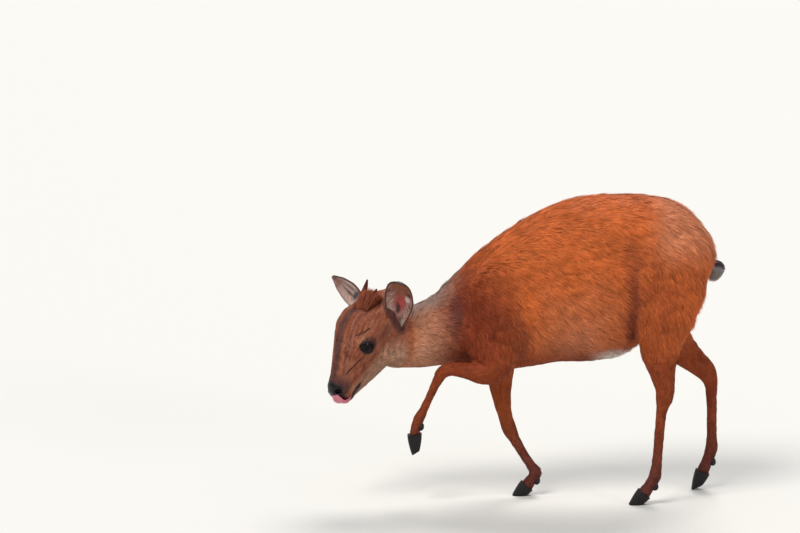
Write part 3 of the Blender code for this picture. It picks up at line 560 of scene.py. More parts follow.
# %% Lie of the coat
# each row is a place and the way that the hair lies there
lie_at = [
    # withers, back, loin, rump and dock
    ((-0.06, 0.0, 0.39), (0.9, 0.0, 0.25)), ((0.02, 0.0, 0.44), (1.0, 0.0, 0.1)),
    ((0.12, 0.0, 0.47), (1.0, 0.0, 0.0)), ((0.20, 0.0, 0.47), (1.0, 0.0, -0.1)),
    ((0.27, 0.0, 0.43), (0.6, 0.0, -0.8)), ((0.29, 0.0, 0.37), (0.1, 0.0, -1.0)),
    # breast, belly and groin
    ((-0.16, 0.0, 0.21), (1.0, 0.0, 0.0)), ((-0.05, 0.0, 0.20), (1.0, 0.0, 0.0)),
    ((0.08, 0.0, 0.21), (1.0, 0.0, 0.0)), ((0.15, 0.0, 0.23), (0.8, 0.0, -0.6)),
    # nape
    ((-0.18, -0.01, 0.31), (0.8, 0.1, 0.3)), ((-0.12, 0.0, 0.34), (0.8, 0.0, 0.6)),
]
for side in (-1, 1):
    lie_at += [
        ((-0.18, side * 0.04, 0.26), (0.95, 0.0, -0.15)),
        ((-0.13, side * 0.05, 0.28), (0.9, 0.0, -0.2)),
        ((-0.13, side * 0.045, 0.23), (0.95, 0.0, -0.1)),
        ((-0.07, side * 0.06, 0.33), (0.75, 0.0, -0.5)),
        ((-0.05, side * 0.07, 0.27), (0.35, 0.0, -0.9)),
        ((0.03, side * 0.08, 0.38), (0.85, 0.0, -0.4)), ((0.05, side * 0.09, 0.31), (0.8, 0.0, -0.6)),
        ((0.06, side * 0.07, 0.25), (0.85, 0.0, -0.5)), ((0.13, side * 0.09, 0.38), (0.85, 0.0, -0.45)),
        ((0.14, side * 0.09, 0.31), (0.75, 0.0, -0.65)), ((0.15, side * 0.07, 0.26), (0.7, 0.0, -0.6)),
        ((0.21, side * 0.08, 0.42), (0.75, 0.0, -0.6)), ((0.22, side * 0.08, 0.35), (0.45, 0.0, -0.9)),
        ((0.21, side * 0.07, 0.28), (0.15, 0.0, -1.0)), ((0.26, side * 0.06, 0.34), (0.3, 0.0, -0.95)),
    ]
for line in LEG_LINES:
    line = np.array(line)
    for start, end in zip(line[:-1], line[1:]):
        for share in (0.25, 0.75):
            lie_at.append((start + (end - start) * share, end - start))
for forward, up in ((-0.01, -0.02), (0.03, 0.012), (0.06, 0.027), (0.09, 0.02), (0.13, 0.006),
                    (0.165, -0.004)):
    lie_at.append((POLL + FORWARD * forward + UP * up, -FORWARD - UP * 0.1))
for side in (-1, 1):
    for place, way in (
        ((0.165, -0.02, 0.015), (-1.0, -0.1, 0.2)), ((0.14, -0.02, 0.021), (-1.0, -0.15, 0.2)),
        ((0.115, 0.0, 0.028), (-1.0, 0.25, 0.3)), ((0.115, -0.03, 0.027), (-1.0, -0.35, 0.2)),
        ((0.09, 0.018, 0.030), (-1.0, 0.3, 0.2)), ((0.09, -0.035, 0.034), (-1.0, -0.5, 0.1)),
        ((0.06, 0.012, 0.038), (-1.0, 0.0, 0.2)), ((0.055, -0.02, 0.041), (-1.0, -0.2, 0.0)),
        ((0.055, -0.06, 0.033), (-0.9, -0.6, 0.0)), ((0.09, -0.07, 0.020), (-1.0, -0.3, 0.0)),
        ((0.13, -0.055, 0.012), (-1.0, -0.2, 0.0)), ((0.02, -0.04, 0.036), (-1.0, -0.3, 0.0)),
    ):
        lie_at.append((POLL + FORWARD * place[0] + UP * place[1] + LEFT * place[2] * side,
                       FORWARD * way[0] + UP * way[1] + LEFT * way[2] * side))
LIE_PLACES = np.array([np.array(place, float) for place, _ in lie_at])
LIE_WAYS = unit(np.array([np.array(way, float) for _, way in lie_at]))
print(len(lie_at), "directions of the coat")


LIE_BLEND = 8 * MM


def lie(points, normals):
    """The direction of the hair at each point, along the skin."""
    found = np.empty_like(points)
    for start in range(0, len(points), 20000):
        q = points[start:start + 20000] + SHIFT
        gap = ((q[:, None, :] - LIE_PLACES[None]) ** 2).sum(2)
        share = 1 / (gap + LIE_BLEND ** 2) ** 2.5
        found[start:start + 20000] = share @ LIE_WAYS / share.sum(1, keepdims=True)
    found -= normals * (found * normals).sum(1, keepdims=True)
    return unit(found)


def hair_length(points):
    """Short on feet and face, long on the trunk, longest in the groin."""
    q = points + SHIFT
    x, z = q[:, 0], q[:, 2]
    f, u, _ = head_place(points)
    head = head_share(points)
    body = (6.0 + 17.0 * smooth(0.19, 0.30, z)) * MM
    groin = bump(x, 0.140, 0.05) * (1 - smooth(0.23, 0.27, z))
    body = body + 7.0 * MM * groin
    neck = 1 - smooth(-0.14, -0.06, x)
    body = body * (1 - 0.12 * neck)
    face = (3.6 + 4.4 * (1 - smooth(0.04, 0.12, f)) + 2.8 * smooth(-0.03, -0.07, u)) * MM
    return body * (1 - head) + face * head


# %% [markdown]
# ## The coat
# The real coat has tens of thousands of fine hairs in a palm's breadth, far below what
# a pixel shows. Particle hair could draw them, but it doesn't travel with a mesh model.
# So a tuft stands for a small lock: a thin tapered blade of three triangles that leaves
# the skin at a low angle and bends back along it. Its normals are mostly the skin's, so
# a field of tufts takes the light as a soft coat does. Roots are drawn over the skin by
# area, more densely on the head and legs, where the tufts are smaller.

# %% Tufts
rng = np.random.default_rng(20)


def unwrap(item):
    """An unwrap of the skin's own shape, in the map that the tufts use too."""
    bpy.context.view_layer.objects.active = item
    item.select_set(True)
    item.data.uv_layers.new(name="OFBake")
    bpy.ops.object.mode_set(mode="EDIT")
    bpy.ops.mesh.select_all(action="SELECT")
    bpy.ops.uv.smart_project(angle_limit=math.radians(60), island_margin=0.002)
    bpy.ops.object.mode_set(mode="OBJECT")
    item.select_set(False)


unwrap(skin)


def quads_of(item):
    """The corners of every face with four sides, as vertices and as loops."""
    mesh = item.data
    corners = np.empty(len(mesh.loops), np.int32)
    mesh.loops.foreach_get("vertex_index", corners)
    sizes = np.empty(len(mesh.polygons), np.int32)
    mesh.polygons.foreach_get("loop_total", sizes)
    starts = np.empty(len(mesh.polygons), np.int32)
    mesh.polygons.foreach_get("loop_start", starts)
    starts = starts[sizes == 4]
    loops = starts[:, None] + np.arange(4)
    return corners[loops], loops


def scatter(item, count, density, rng):
    """Roots on the faces of item: their places, skin normals and places on the map."""
    points, normals = points_of(item.data), normals_of(item.data)
    quads, loops = quads_of(item)
    uv = np.empty(len(item.data.loops) * 2, np.float32)
    item.data.uv_layers["OFBake"].data.foreach_get("uv", uv)
    uv = uv.reshape(-1, 2)
    a, b, c, d = (points[quads[:, k]] for k in range(4))
    area = np.linalg.norm(np.cross(c - a, d - b), axis=1) / 2
    share = area * density((a + b + c + d) / 4)
    chosen = rng.choice(len(quads), count, p=share / share.sum())
    s, t = rng.random((2, count))
    mix = np.stack([(1 - s) * (1 - t), s * (1 - t), s * t, (1 - s) * t], 1)
    return (np.einsum("nk,nkc->nc", mix, points[quads[chosen]]),
            unit(np.einsum("nk,nkc->nc", mix, normals[quads[chosen]])),
            np.einsum("nk,nkc->nc", mix, uv[loops[chosen]]))


# share of tufts that are darker guard hairs, root sunk below the skin, width of the
# normals' lean, and half the patch that a tuft takes on the map
DARK_STRANDS = 0.2
ROOT_SUNK = 0.4 * MM
LEAN = 0.45
PATCH_HALF = 0.0015


def tufts(name, roots, normals, ways, lengths, widths, lift, places, masks, shade, rng,
          bend=0.35):
    """One piece of coat. Each tuft has five points: two at the root, two halfway and
    one tip."""
    count = len(roots)
    sides = unit(np.cross(normals, ways))
    lengths, widths, lift = (np.broadcast_to(v, count)[:, None] for v in (lengths, widths, lift))
    half = roots + ways * lengths * 0.5 + normals * lengths * lift * 0.62
    tips = roots + ways * lengths + normals * lengths * lift * (1 - bend) + sides * (
        lengths * rng.normal(0, 0.06, (count, 1)))
    roots = roots - normals * ROOT_SUNK
    wide = sides * widths / 2
    points = np.stack([roots - wide * 0.8, roots + wide * 0.8, half - wide, half + wide, tips], 1)
    first = np.arange(count)[:, None, None] * 5
    faces = (first + np.array(((0, 3, 1), (0, 2, 3), (2, 4, 3)))[None]).reshape(-1, 3)
    mesh = mesh_from(name, points.reshape(-1, 3), faces)
    up = unit(normals + rng.normal(0, 0.16, (count, 3)))
    lean = np.stack([up - sides * LEAN, up + sides * LEAN, up - sides * LEAN, up + sides * LEAN,
                     up + ways * 0.3], 1)
    mesh.normals_split_custom_set_from_vertices(unit(lean.reshape(-1, 3)))
    set_marks(mesh, np.repeat(masks, 5, axis=0))
    along = np.tile(np.array((0.0, 0.0, 0.5, 0.5, 1.0)), count)
    seeds = rng.random(count)
    seeds = np.repeat(np.where(seeds < DARK_STRANDS, 0.0, 0.5 + 0.5 * seeds), 5)
    set_attribute(mesh, "tuft", np.stack([along, seeds, np.repeat(shade, 5)], 1))
    patch = PATCH_HALF * np.array(((-1, -1), (1, -1), (-1, 0), (1, 0), (0, 1)))
    corner = (places[:, None, :] + patch[None]).reshape(-1, 2)[faces.ravel()]
    layer = mesh.uv_layers.new(name="OFBake")
    layer.data.foreach_set("uv", corner.astype(np.float32).ravel())
    made = new_object(name, mesh)
    made.data.materials.append(coat_look)
    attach(made, "root")


# %% [markdown]
# ## Materials
# Hair, skin, horn and hoof are all of one kind of stuff, keratin and skin, but each has
# grown its own surface. None of them is one flat colour. They could be image textures,
# but here each is a small set of nodes, with the markings read from the mesh by name.
# Colours are written as sRGB hex and turned to linear by one function. `node` adds one
# shader node with its settings and links.

# %% Colour and nodes
def linear(code):
    """An sRGB hex colour as the linear numbers that the shaders use."""
    parts = [int(code[k:k + 2], 16) / 255 for k in (1, 3, 5)]
    return tuple(p / 12.92 if p <= 0.04045 else ((p + 0.055) / 1.055) ** 2.4 for p in parts) + (1.0,)


def node(tree, kind, values):
    """Adds a node. Each value sets a property or a socket, or is a socket to link from."""
    made = tree.nodes.new(kind)
    for key, value in values.items():
        if isinstance(value, bpy.types.NodeSocket):
            tree.links.new(value, made.inputs[key])
        elif isinstance(key, str) and hasattr(made, key):
            setattr(made, key, value)
        else:
            made.inputs[key].default_value = value
    return made


def new_material(name):
    """A material, its node tree and its main shader."""
    made = bpy.data.materials.new(name)
    made.use_nodes = True
    tree = made.node_tree
    shader = tree.nodes["Principled BSDF"]
    return made, tree, shader


print("a middle grey is", round(linear("#808080")[0], 3), "in linear light")

# %% [markdown]
# ### Hair of the coat
# Duiker hair is solid keratin, grown and never polished: each strand is darker at its
# root, and no two have quite the same depth of colour. To the eye that gives a coat with
# streaks along its lie, little gloss and soft darker clumps. Each tuft carries three
# numbers for this: how far along it a point is, its own tone, and its clump's tone.

# %% Coat hair
MIX = {"data_type": "RGBA"}
COAT = {"base": "#C5632F", "red": "#7E331D", "pale": "#D2A283", "dark": "#382A32",
        "white": "#EFE6DC"}


def blended(tree, colour, layers):
    """The colour with each layer's own colour laid over it by its share."""
    for share, code in layers:
        colour = node(tree, "ShaderNodeMix", {
            **MIX, 0: share, 6: colour, 7: linear(code)}).outputs[2]
    return colour


def marked_colour(tree):
    """The coat's colour from its four masks."""
    mask = node(tree, "ShaderNodeAttribute", {"attribute_name": "marks"})
    white = node(tree, "ShaderNodeAttribute", {"attribute_name": "white"})
    pale, dark, red = node(tree, "ShaderNodeSeparateColor", {0: mask.outputs["Color"]}).outputs
    return blended(tree, linear(COAT["base"]), (
        (red, COAT["red"]), (pale, COAT["pale"]), (dark, COAT["dark"]),
        (white.outputs["Fac"], COAT["white"])))


def hair_material():
    """Unpolished keratin hair: little gloss, each tuft darker at the root."""
    made, tree, shader = new_material("duiker_hair_keratin_soft")
    tuft = node(tree, "ShaderNodeAttribute", {"attribute_name": "tuft"})
    along, own, clump = node(tree, "ShaderNodeSeparateColor", {0: tuft.outputs["Color"]}).outputs
    value = node(tree, "ShaderNodeMapRange", {3: 0.66, 4: 1.20, 0: own}).outputs[0]
    for share, least, most in ((clump, 0.70, 1.28), (along, 0.66, 1.16)):
        tone = node(tree, "ShaderNodeMapRange", {3: least, 4: most, 0: share})
        value = node(tree, "ShaderNodeMath", {
            "operation": "MULTIPLY", 0: value, 1: tone.outputs[0]}).outputs[0]
    tone = node(tree, "ShaderNodeHueSaturation", {"Value": value, "Color": marked_colour(tree)})
    tree.links.new(tone.outputs[0], shader.inputs["Base Color"])
    shader.inputs["Roughness"].default_value = 0.62
    shader.inputs["Specular IOR Level"].default_value = 0.14
    return made


coat_look = hair_material()
print(coat_look.name)

# %% [markdown]
# ### Skin and nose
# Between the tufts the skin shows through, dim and in the coat's own colours. The nose
# pad is bare: black skin, wet from licking and pebbled in bumps about a millimetre
# across, so it has a soft broad shine where the rest is matt. Lids, lips and nostrils
# are bare and nearly black too.

# %% Skin
PEBBLE, SHORT_HAIR = 1.1 * MM, 5 / 3 * MM
SHADED = "#A89C98"
BARE = {"nose": "#070607", "tear_corner": "#9A6458", "lids": "#120A0B"}


def skin_material():
    """Hairy skin, and bare wet skin where the mask says so."""
    made, tree, shader = new_material("duiker_skin_and_wet_nose")
    bare = node(tree, "ShaderNodeAttribute", {"attribute_name": "bare"})
    nose, lids, corner = node(tree, "ShaderNodeSeparateColor", {0: bare.outputs["Color"]}).outputs
    place = node(tree, "ShaderNodeTexCoord", {}).outputs["Object"]
    streak = node(tree, "ShaderNodeTexNoise", {
        "Scale": 1 / SHORT_HAIR, "Detail": 3.0, "Vector": place}).outputs[0]
    colour = node(tree, "ShaderNodeMix", {
        **MIX, "blend_type": "MULTIPLY", 0: 1.0, 6: marked_colour(tree), 7: linear(SHADED)}).outputs[2]
    colour = blended(tree, colour, (
        (nose, BARE["nose"]), (corner, BARE["tear_corner"]), (lids, BARE["lids"])))
    tree.links.new(colour, shader.inputs["Base Color"])
    rough = node(tree, "ShaderNodeMapRange", {3: 0.72, 4: 0.26, 0: nose}).outputs[0]
    tree.links.new(rough, shader.inputs["Roughness"])
    shader.inputs["Specular IOR Level"].default_value = 0.30
    pebble = node(tree, "ShaderNodeTexVoronoi", {"Scale": 1 / PEBBLE, "Vector": place})
    height = node(tree, "ShaderNodeMix", {
        **MIX, 0: nose, 6: streak, 7: pebble.outputs["Distance"]}).outputs[2]
    relief = node(tree, "ShaderNodeBump", {
        "Strength": 0.5, "Distance": 0.35 * MM, "Height": height}).outputs[0]
    tree.links.new(relief, shader.inputs["Normal"])
    return made


# %% Grained substances
def grained_material(name, first, second, roughness, grain_mm, depth_mm, relief=0.5, sockets=()):
    """One substance that varies between two colours, with a grain given in millimetres."""
    made, tree, shader = new_material(name)
    place = node(tree, "ShaderNodeTexCoord", {}).outputs["Object"]
    grain = node(tree, "ShaderNodeTexNoise", {
        "Scale": 1 / (grain_mm * MM), "Detail": 4.0, "Vector": place}).outputs[0]
    tree.links.new(blended(tree, linear(first), ((grain, second),)), shader.inputs["Base Color"])
    raised = node(tree, "ShaderNodeBump", {
        "Strength": relief, "Distance": depth_mm * MM, "Height": grain}).outputs[0]
    tree.links.new(raised, shader.inputs["Normal"])
    shader.inputs["Roughness"].default_value = roughness
    for socket, value in sockets:
        shader.inputs[socket].default_value = value
    return made


# %% Dress the skin
def bare_mask(points):
    """How bare the skin is: the nose pad first, then the dark of lids, mouth and nostrils."""
    f, u, l = head_place(points)
    pad = smooth(0.1590, 0.1630, f) * smooth(-0.0345, -0.0315, u) * (
        1 - smooth(0.0160, 0.0180, np.abs(l)))
    lid = 1 - smooth(EYE_RADIUS + 0.2 * MM, EYE_RADIUS + 2.2 * MM, eye_gap(points))
    nostril, _, slit, crease = face_cuts(points)
    mouth = bump(u, -0.0397 + (f - 0.140) * 0.10, 0.0036) * smooth(0.138, 0.141, f)
    corner = bump(np.hypot(f - 0.106, u - 0.0105), 0, 0.0035) * (np.abs(l) > 0.015)
    bare = np.stack([pad, np.maximum.reduce([lid, mouth, nostril, slit, 0.6 * crease]), corner], 1)
    return np.clip(bare, 0, 1) * head_share(points)[:, None]


skin.data.materials.clear()
skin.data.materials.append(skin_material())
set_marks(skin.data, marks(skin_points))
set_attribute(skin.data, "bare", bare_mask(skin_points))
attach(skin, "root")
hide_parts(*flesh)
print("skin dressed")

# %% [markdown]
# ## Growing the coat
# A coat could be one mesh, but an editor is slow with a million triangles in one piece.
# Roots are drawn for the whole body at once, so that no border shows, and then split
# into pieces by region. Three noises keep the field from looking combed: the hair
# drifts from its lie, clumps in patches as wide as a finger, and varies in length.

# %% Grow
COAT_TUFTS = 450000
# how wide the patches are in which tufts lean, drift, rise and differ in tone together
CLUMP, DRIFT, RISE, PATCH, FACE_CLUMP = 9 * MM, 24 * MM, 14 * MM, 40 * MM, 4 * MM


def density(points):
    """How many tufts an area gets against others. Bare skin gets none."""
    q = points + SHIFT
    head = head_share(points)
    bare = bare_mask(points)[:, :2].max(1)
    leg = 1 - smooth(0.19, 0.26, q[:, 2])
    return (0.9 + 1.2 * leg * (1 - head) + 2.4 * head) * (bare < 0.35)


roots, normals, places = scatter(skin, COAT_TUFTS, density, rng)
ways = lie(roots, normals)
clumps = waves(roots, CLUMP, 5)
drift = waves(roots, DRIFT, 6) * 0.20 + clumps * 0.14 + rng.normal(0, 0.10, len(roots))
ways = unit(ways + np.cross(normals, ways) * drift[:, None])
lengths = hair_length(roots) * rng.uniform(0.72, 1.22, len(roots))
# a tuft is about a twentieth as wide as it is long
widths = np.clip(lengths * 0.055, 0.50 * MM, 1.00 * MM)
masks = marks(roots + ways * lengths[:, None] * 0.4)
lift = 0.22 + 0.05 * waves(roots, RISE, 8) + 0.35 * masks[:, 3]
shade = np.clip(0.5 + 0.14 * clumps + 0.12 * waves(roots, PATCH, 9), 0, 1)
shade = np.where(head_share(roots) > 0.5, np.clip(
    0.5 + 0.22 * waves(roots, FACE_CLUMP, 10) + rng.normal(0, 0.16, len(roots)), 0, 1), shade)

# %% Pieces of the coat
q = roots + SHIFT
f, u, l = head_place(roots)
is_head = 0.475 * (f - 0.041) + 0.88 * (u + 0.050) > -0.004
is_leg = (q[:, 2] < 0.215) & ~is_head
is_neck = (q[:, 0] < -0.09) & ~is_head & ~is_leg
region = np.select(
    [is_head, is_leg, is_neck, q[:, 0] < 0.06, q[:, 0] < 0.17], [0, 1, 2, 3, 4], 5)
LARGEST = 64000
for number, label in enumerate(("head", "legs", "neck", "shoulders", "barrel", "haunches")):
    here = np.flatnonzero(region == number)
    for part, start in enumerate(range(0, len(here), LARGEST)):
        some = here[start:start + LARGEST]
        tufts(f"coat_{label}_{part + 1}", roots[some], normals[some], ways[some], lengths[some],
              widths[some], lift[some], places[some], masks[some], shade[some], rng)
    print(label, len(here), "tufts")

# %% [markdown]
# ## Ears
# Each ear is a thin cupped oval of cartilage in skin. The solid's ear could be smoothed,
# but it has too few rings for a crisp rim. It is drawn again here with many more, with
# soft folds in its cup, a short coat behind and sparse long pale hairs inside. The skin
# inside is thin and nearly bare, so blood shows through it: pinkish-brown with a red
# patch deep in the cup, dark hairless streaks, and a dark rim.

# %% Ears
EAR_LENGTH, EAR_HALF_WIDTH, EAR_CUP, EAR_WALL = 0.090, 0.0235, 0.0150, 0.0022
# place along the ear and its width there, as shares
EAR_SHAPE = ((0.0, 0.40), (0.15, 0.50), (0.30, 0.74), (0.45, 0.93), (0.60, 1.0), (0.75, 0.95),
             (0.88, 0.81), (0.95, 0.60), (0.985, 0.38), (1.0, 0.06))
# root, way along the ear and way that its cup faces
EARS = {
    "left": ((0.046, -0.034, 0.038), (0.06, -0.40, 0.92), (-0.32, -0.93, -0.15)),
    "right": ((0.044, -0.034, -0.034), (-0.604, 0.40, 0.689), (-0.72, -0.62, -0.27)),
}
# patches inside an ear: place along and across it, reach along and across, strength
EAR_DARK = {
    "left": ((0.38, -0.10, 0.12, 0.20, 0.9), (0.74, -0.72, 0.07, 0.16, 0.8),
             (0.72, 0.60, 0.07, 0.24, 0.8), (0.43, 0.55, 0.14, 0.24, 0.85),
             (0.05, 0.0, 0.24, 0.8, 0.8)),
    "right": ((0.50, -0.1, 0.08, 0.55, 0.9), (0.08, 0.0, 0.24, 1.0, 0.9),
              (0.64, -0.30, 0.22, 0.13, 0.85), (0.66, 0.10, 0.20, 0.10, 0.75),
              (0.50, 0.85, 0.75, 0.42, 0.9)),
}
EAR_PINK = {"left": ((0.50, 0.0, 0.22, 0.42, 0.9),), "right": ((0.30, -0.1, 0.18, 0.5, 0.5),)}
EAR_BROWN = {"left": ((0.92, 0.1, 0.46, 1.5, 1.0),), "right": ((0.92, -0.1, 0.22, 1.2, 0.7),)}
EAR_WHITE = {"left": ((0.60, 0.43, 0.08, 0.22, 0.8), (0.15, 0.75, 0.12, 0.3, 0.8)),
             "right": ((0.55, 0.36, 0.5, 0.07, 0.9),)}
# rings along the ear, closer together at the tip, and points across it
EAR_ROWS = 1 - (1 - np.linspace(0, 1, 56)) ** 1.35
EAR_ARC = 29
EAR_PATCH_DRIFT = 0.15
# the insides of both ears are one skin, painted in two tones as light and shade: lighter in the right
# ear, darker in the left
EAR = {"back": "#4A3A40", "left": "#94635A", "right": "#B4948B", "brown": "#80492F",
       "pink": "#A83A36", "white": "#E4D6CC", "dark": "#241A1E"}


def ear_grid(name):
    """Points of the back and of the inside of an ear, as grids from root to tip."""
    rows, arc = len(EAR_ROWS), EAR_ARC
    root, along, facing = EARS[name]
    base = on_head(*root)
    along, facing = unit(np.array(along)), np.array(facing)
    facing = unit(facing - along * facing.dot(along))
    side = np.cross(along, facing)
    back, inside = np.empty((2, rows, arc, 3))
    spots = smooth_curve(EAR_SHAPE, 60)
    for i in range(rows):
        t = EAR_ROWS[i]
        share = np.interp(t, spots[:, 0], spots[:, 1])
        narrower = (0.30 * smooth(0.55, 0.95, t) + 0.35 * smooth(0.80, 1.0, t)) * (name == "right")
        half = EAR_HALF_WIDTH * share * (1 - narrower)
        bend = math.radians(115 - 60 * t)
        depth = EAR_CUP * (1.0 - 0.55 * t) * (0.30 + 0.70 * share)
        middle = base + along * (EAR_LENGTH * t) - facing * (0.006 * math.sin(math.pi * t))
        for j in range(arc):
            angle = -bend + 2 * bend * j / (arc - 1)
            spread = math.sin(angle) / math.sin(min(bend, math.pi / 2))
            sink = depth * (math.cos(angle) - math.cos(bend)) / (1 - math.cos(bend))
            edge = abs(2 * j / (arc - 1) - 1)
            wall = EAR_WALL * (1.0 - 0.6 * edge**4)
            fold = 0.9 * MM * math.sin(9 * edge + 2.0) * math.sin(math.pi * t) * (1 - edge)
            point = middle + side * (half * spread) - facing * sink
            inward = facing * math.cos(angle) - side * math.sin(angle)
            back[i, j] = point + inward * (0.4 * MM)
            inside[i, j] = point + inward * (wall + fold - 0.2 * MM)
    return back, inside, facing


def ear_shell(name, back, inside):
    """The closed shell of an ear, and for each of its points the place along it, the
    place across it from -1 to 1, and 1 inside or 0 on the back."""
    ring = np.concatenate([back, inside[:, ::-1]], axis=1)
    rows, around, _ = ring.shape
    mesh = closed_loft("ear_" + name, ring, False)
    across = np.concatenate([np.linspace(-1, 1, EAR_ARC), np.linspace(1, -1, EAR_ARC)])
    inner = np.concatenate([np.zeros(EAR_ARC), np.ones(EAR_ARC)])
    return mesh, np.repeat(EAR_ROWS, around), np.tile(across, rows), np.tile(inner, rows)


def ear_masks(name, mesh, t, j, inner):
    """Paints the patches of an ear into its mesh."""
    drift = EAR_PATCH_DRIFT * waves(points_of(mesh), 8 * MM, 31)
    patches = []
    for rows_of in (EAR_DARK, EAR_PINK, EAR_BROWN, EAR_WHITE):
        mask = np.zeros(len(t))
        for at_t, at_j, reach_t, reach_j, strength in rows_of[name]:
            away = np.hypot((t - at_t) / reach_t, (j - at_j) / reach_j)
            mask = np.maximum(mask, strength * (1 - smooth(0.3, 1.0, away + drift)))
        patches.append(mask)
    dark, pink, brown, white = patches
    rim = np.maximum(smooth(0.80, 0.93, np.abs(j)), smooth(0.91, 0.97, t))
    dark = np.maximum(dark * inner, 0.9 * rim * (1 - 0.6 * inner * (name == "right")))
    set_attribute(mesh, "ear", np.stack([inner, dark, pink * inner], 1))
    set_attribute(mesh, "ear_more", np.stack([brown * inner, white * inner, inner], 1))


def ear_material(name):
    """Thin skin, soft to the light, with its patches from the mesh."""
    made, tree, shader = new_material("thin_ear_skin_" + name)
    data = node(tree, "ShaderNodeAttribute", {"attribute_name": "ear"}).outputs["Color"]
    inner, dark, pink = node(tree, "ShaderNodeSeparateColor", {0: data}).outputs
    data = node(tree, "ShaderNodeAttribute", {"attribute_name": "ear_more"}).outputs["Color"]
    brown, white, _ = node(tree, "ShaderNodeSeparateColor", {0: data}).outputs
    colour = blended(tree, linear(EAR["back"]), (
        (inner, EAR[name]), (brown, EAR["brown"]), (pink, EAR["pink"]),
        (white, EAR["white"]), (dark, EAR["dark"])))
    tree.links.new(colour, shader.inputs["Base Color"])
    shader.inputs["Roughness"].default_value = 0.55
    shader.inputs["Subsurface Weight"].default_value = 0.15
    shader.inputs["Subsurface Scale"].default_value = 2 * MM
    return made


# %% Hair of the ears
# the back's count, shortest and longest in millimetres and width, then the inside's
EAR_HAIR = {"back": (5200, 4.0, 6.5, 0.7 * MM), "inside": (300, 7.0, 12.0, 0.3 * MM)}


def ear_hair(name, kind, grid, facing):
    """Tufts on one face of an ear, which run to its tip."""
    count, shortest, longest, width = EAR_HAIR[kind]
    rows, arc = grid.shape[:2]
    i = rng.integers(1, rows - 4, count)
    j = rng.integers(1, arc - 1, count)
    if kind == "inside":
        i = (rng.random(count) ** 1.6 * (rows - 26)).astype(int) + 1
        j = np.where(rng.random(count) < 0.6, rng.integers(1, 7, count),
                     rng.integers(arc - 8, arc - 1, count))
    run = unit(grid[i + 1, j] - grid[i - 1, j])
    over = unit(np.cross(grid[i, j + 1] - grid[i, j - 1], run))
    over = over * np.where((over @ facing > 0) == (kind == "back"), -1, 1)[:, None]
    root = grid[i, j] + (grid[i, j + 1] - grid[i, j]) * rng.random((count, 1))
    centre = unit(grid[i, arc // 2] - grid[i, j] + 1e-6) if kind == "inside" else run * 0
    way = unit(run + centre * 0.9 + rng.normal(0, 0.12, (count, 3)))
    way = unit(way - over * (way * over).sum(1, keepdims=True) * 0.8)
    t = EAR_ROWS[i]
    if kind == "back":
        masks = np.stack([0.1 + 0 * t, 0.55 + 0.35 * t, 0.3 + 0 * t, 0 * t], 1)
    else:
        masks = np.stack([0.9 + 0 * t, 0 * t, 0 * t, rng.uniform(0.2, 0.8, count)], 1)
    taper = np.minimum(1, (rows - i) / 10)
    spot = 0.1 + 0.8 * np.stack([i / rows, j / arc], 1)
    lengths = rng.uniform(shortest, longest, count) * MM * taper
    tufts(f"ear_hair_{name}_{kind}", root, over, way, lengths, width, 0.18, spot, masks,
          rng.random(count), rng)


for name in EARS:
    back, inside, facing = ear_grid(name)
    mesh, *places_on_ear = ear_shell(name, back, inside)
    item = new_object("ear_shell_" + name, mesh)
    ear_masks(name, mesh, *places_on_ear)
    item.data.materials.append(ear_material(name))
    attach(item, "root")
    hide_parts("ear_" + name)
    ear_hair(name, "back", back, facing)
    ear_hair(name, "inside", inside, facing)
    print(item.name, len(mesh.polygons), "faces")

# %% [markdown]
# ## Eyes
# A duiker's eye is large and looks black: the iris is a very dark brown behind a clear
# wet cornea, so what the eye shows is one sharp light on a dark ball. Two nested balls
# could hold iris and cornea, but at this size one ball with the iris painted on it
# looks the same. The lids could be rings laid on it. They are one thin shell here that
# follows the ball, open in an almond, with a thick bare black rim and short hair.

# %% Eyes
LID_WIDTH, LID_HEIGHT = 13.3 * MM, 7.2 * MM
IRIS = 6 * MM
# how far the lid stands off the ball, along the millimetres from its rim outwards
LID_AT = (0.0, 0.4, 1.0, 1.8, 2.6, 4.0, 8.0, 22.0)
LID_OFF = (-0.3, 0.6, 1.1, 1.2, 0.8, 0.7, 0.6, 0.2)


def eye_axes(side):
    """The way that an eye looks, along its opening and across it."""
    look = head_way(0.26, 0.08, side)
    along = head_way(0.53, 0.85, 0.0)
    along = unit(along - look * along.dot(look))
    rise = np.cross(look, along)
    return look, along, rise if rise.dot(UP) > 0 else -rise


def eye_material():
    """A wet cornea, as smooth as glass, over a nearly black iris."""
    made, tree, shader = new_material("wet_cornea")
    data = node(tree, "ShaderNodeAttribute", {"attribute_name": "iris"})
    iris = node(tree, "ShaderNodeSeparateColor", {0: data.outputs["Color"]}).outputs[0]
    colour = blended(tree, linear("#120B09"), ((iris, "#040304"),))
    tree.links.new(colour, shader.inputs["Base Color"])
    shader.inputs["Roughness"].default_value = 0.05
    shader.inputs["Specular IOR Level"].default_value = 0.16
    return made


ball_look = eye_material()


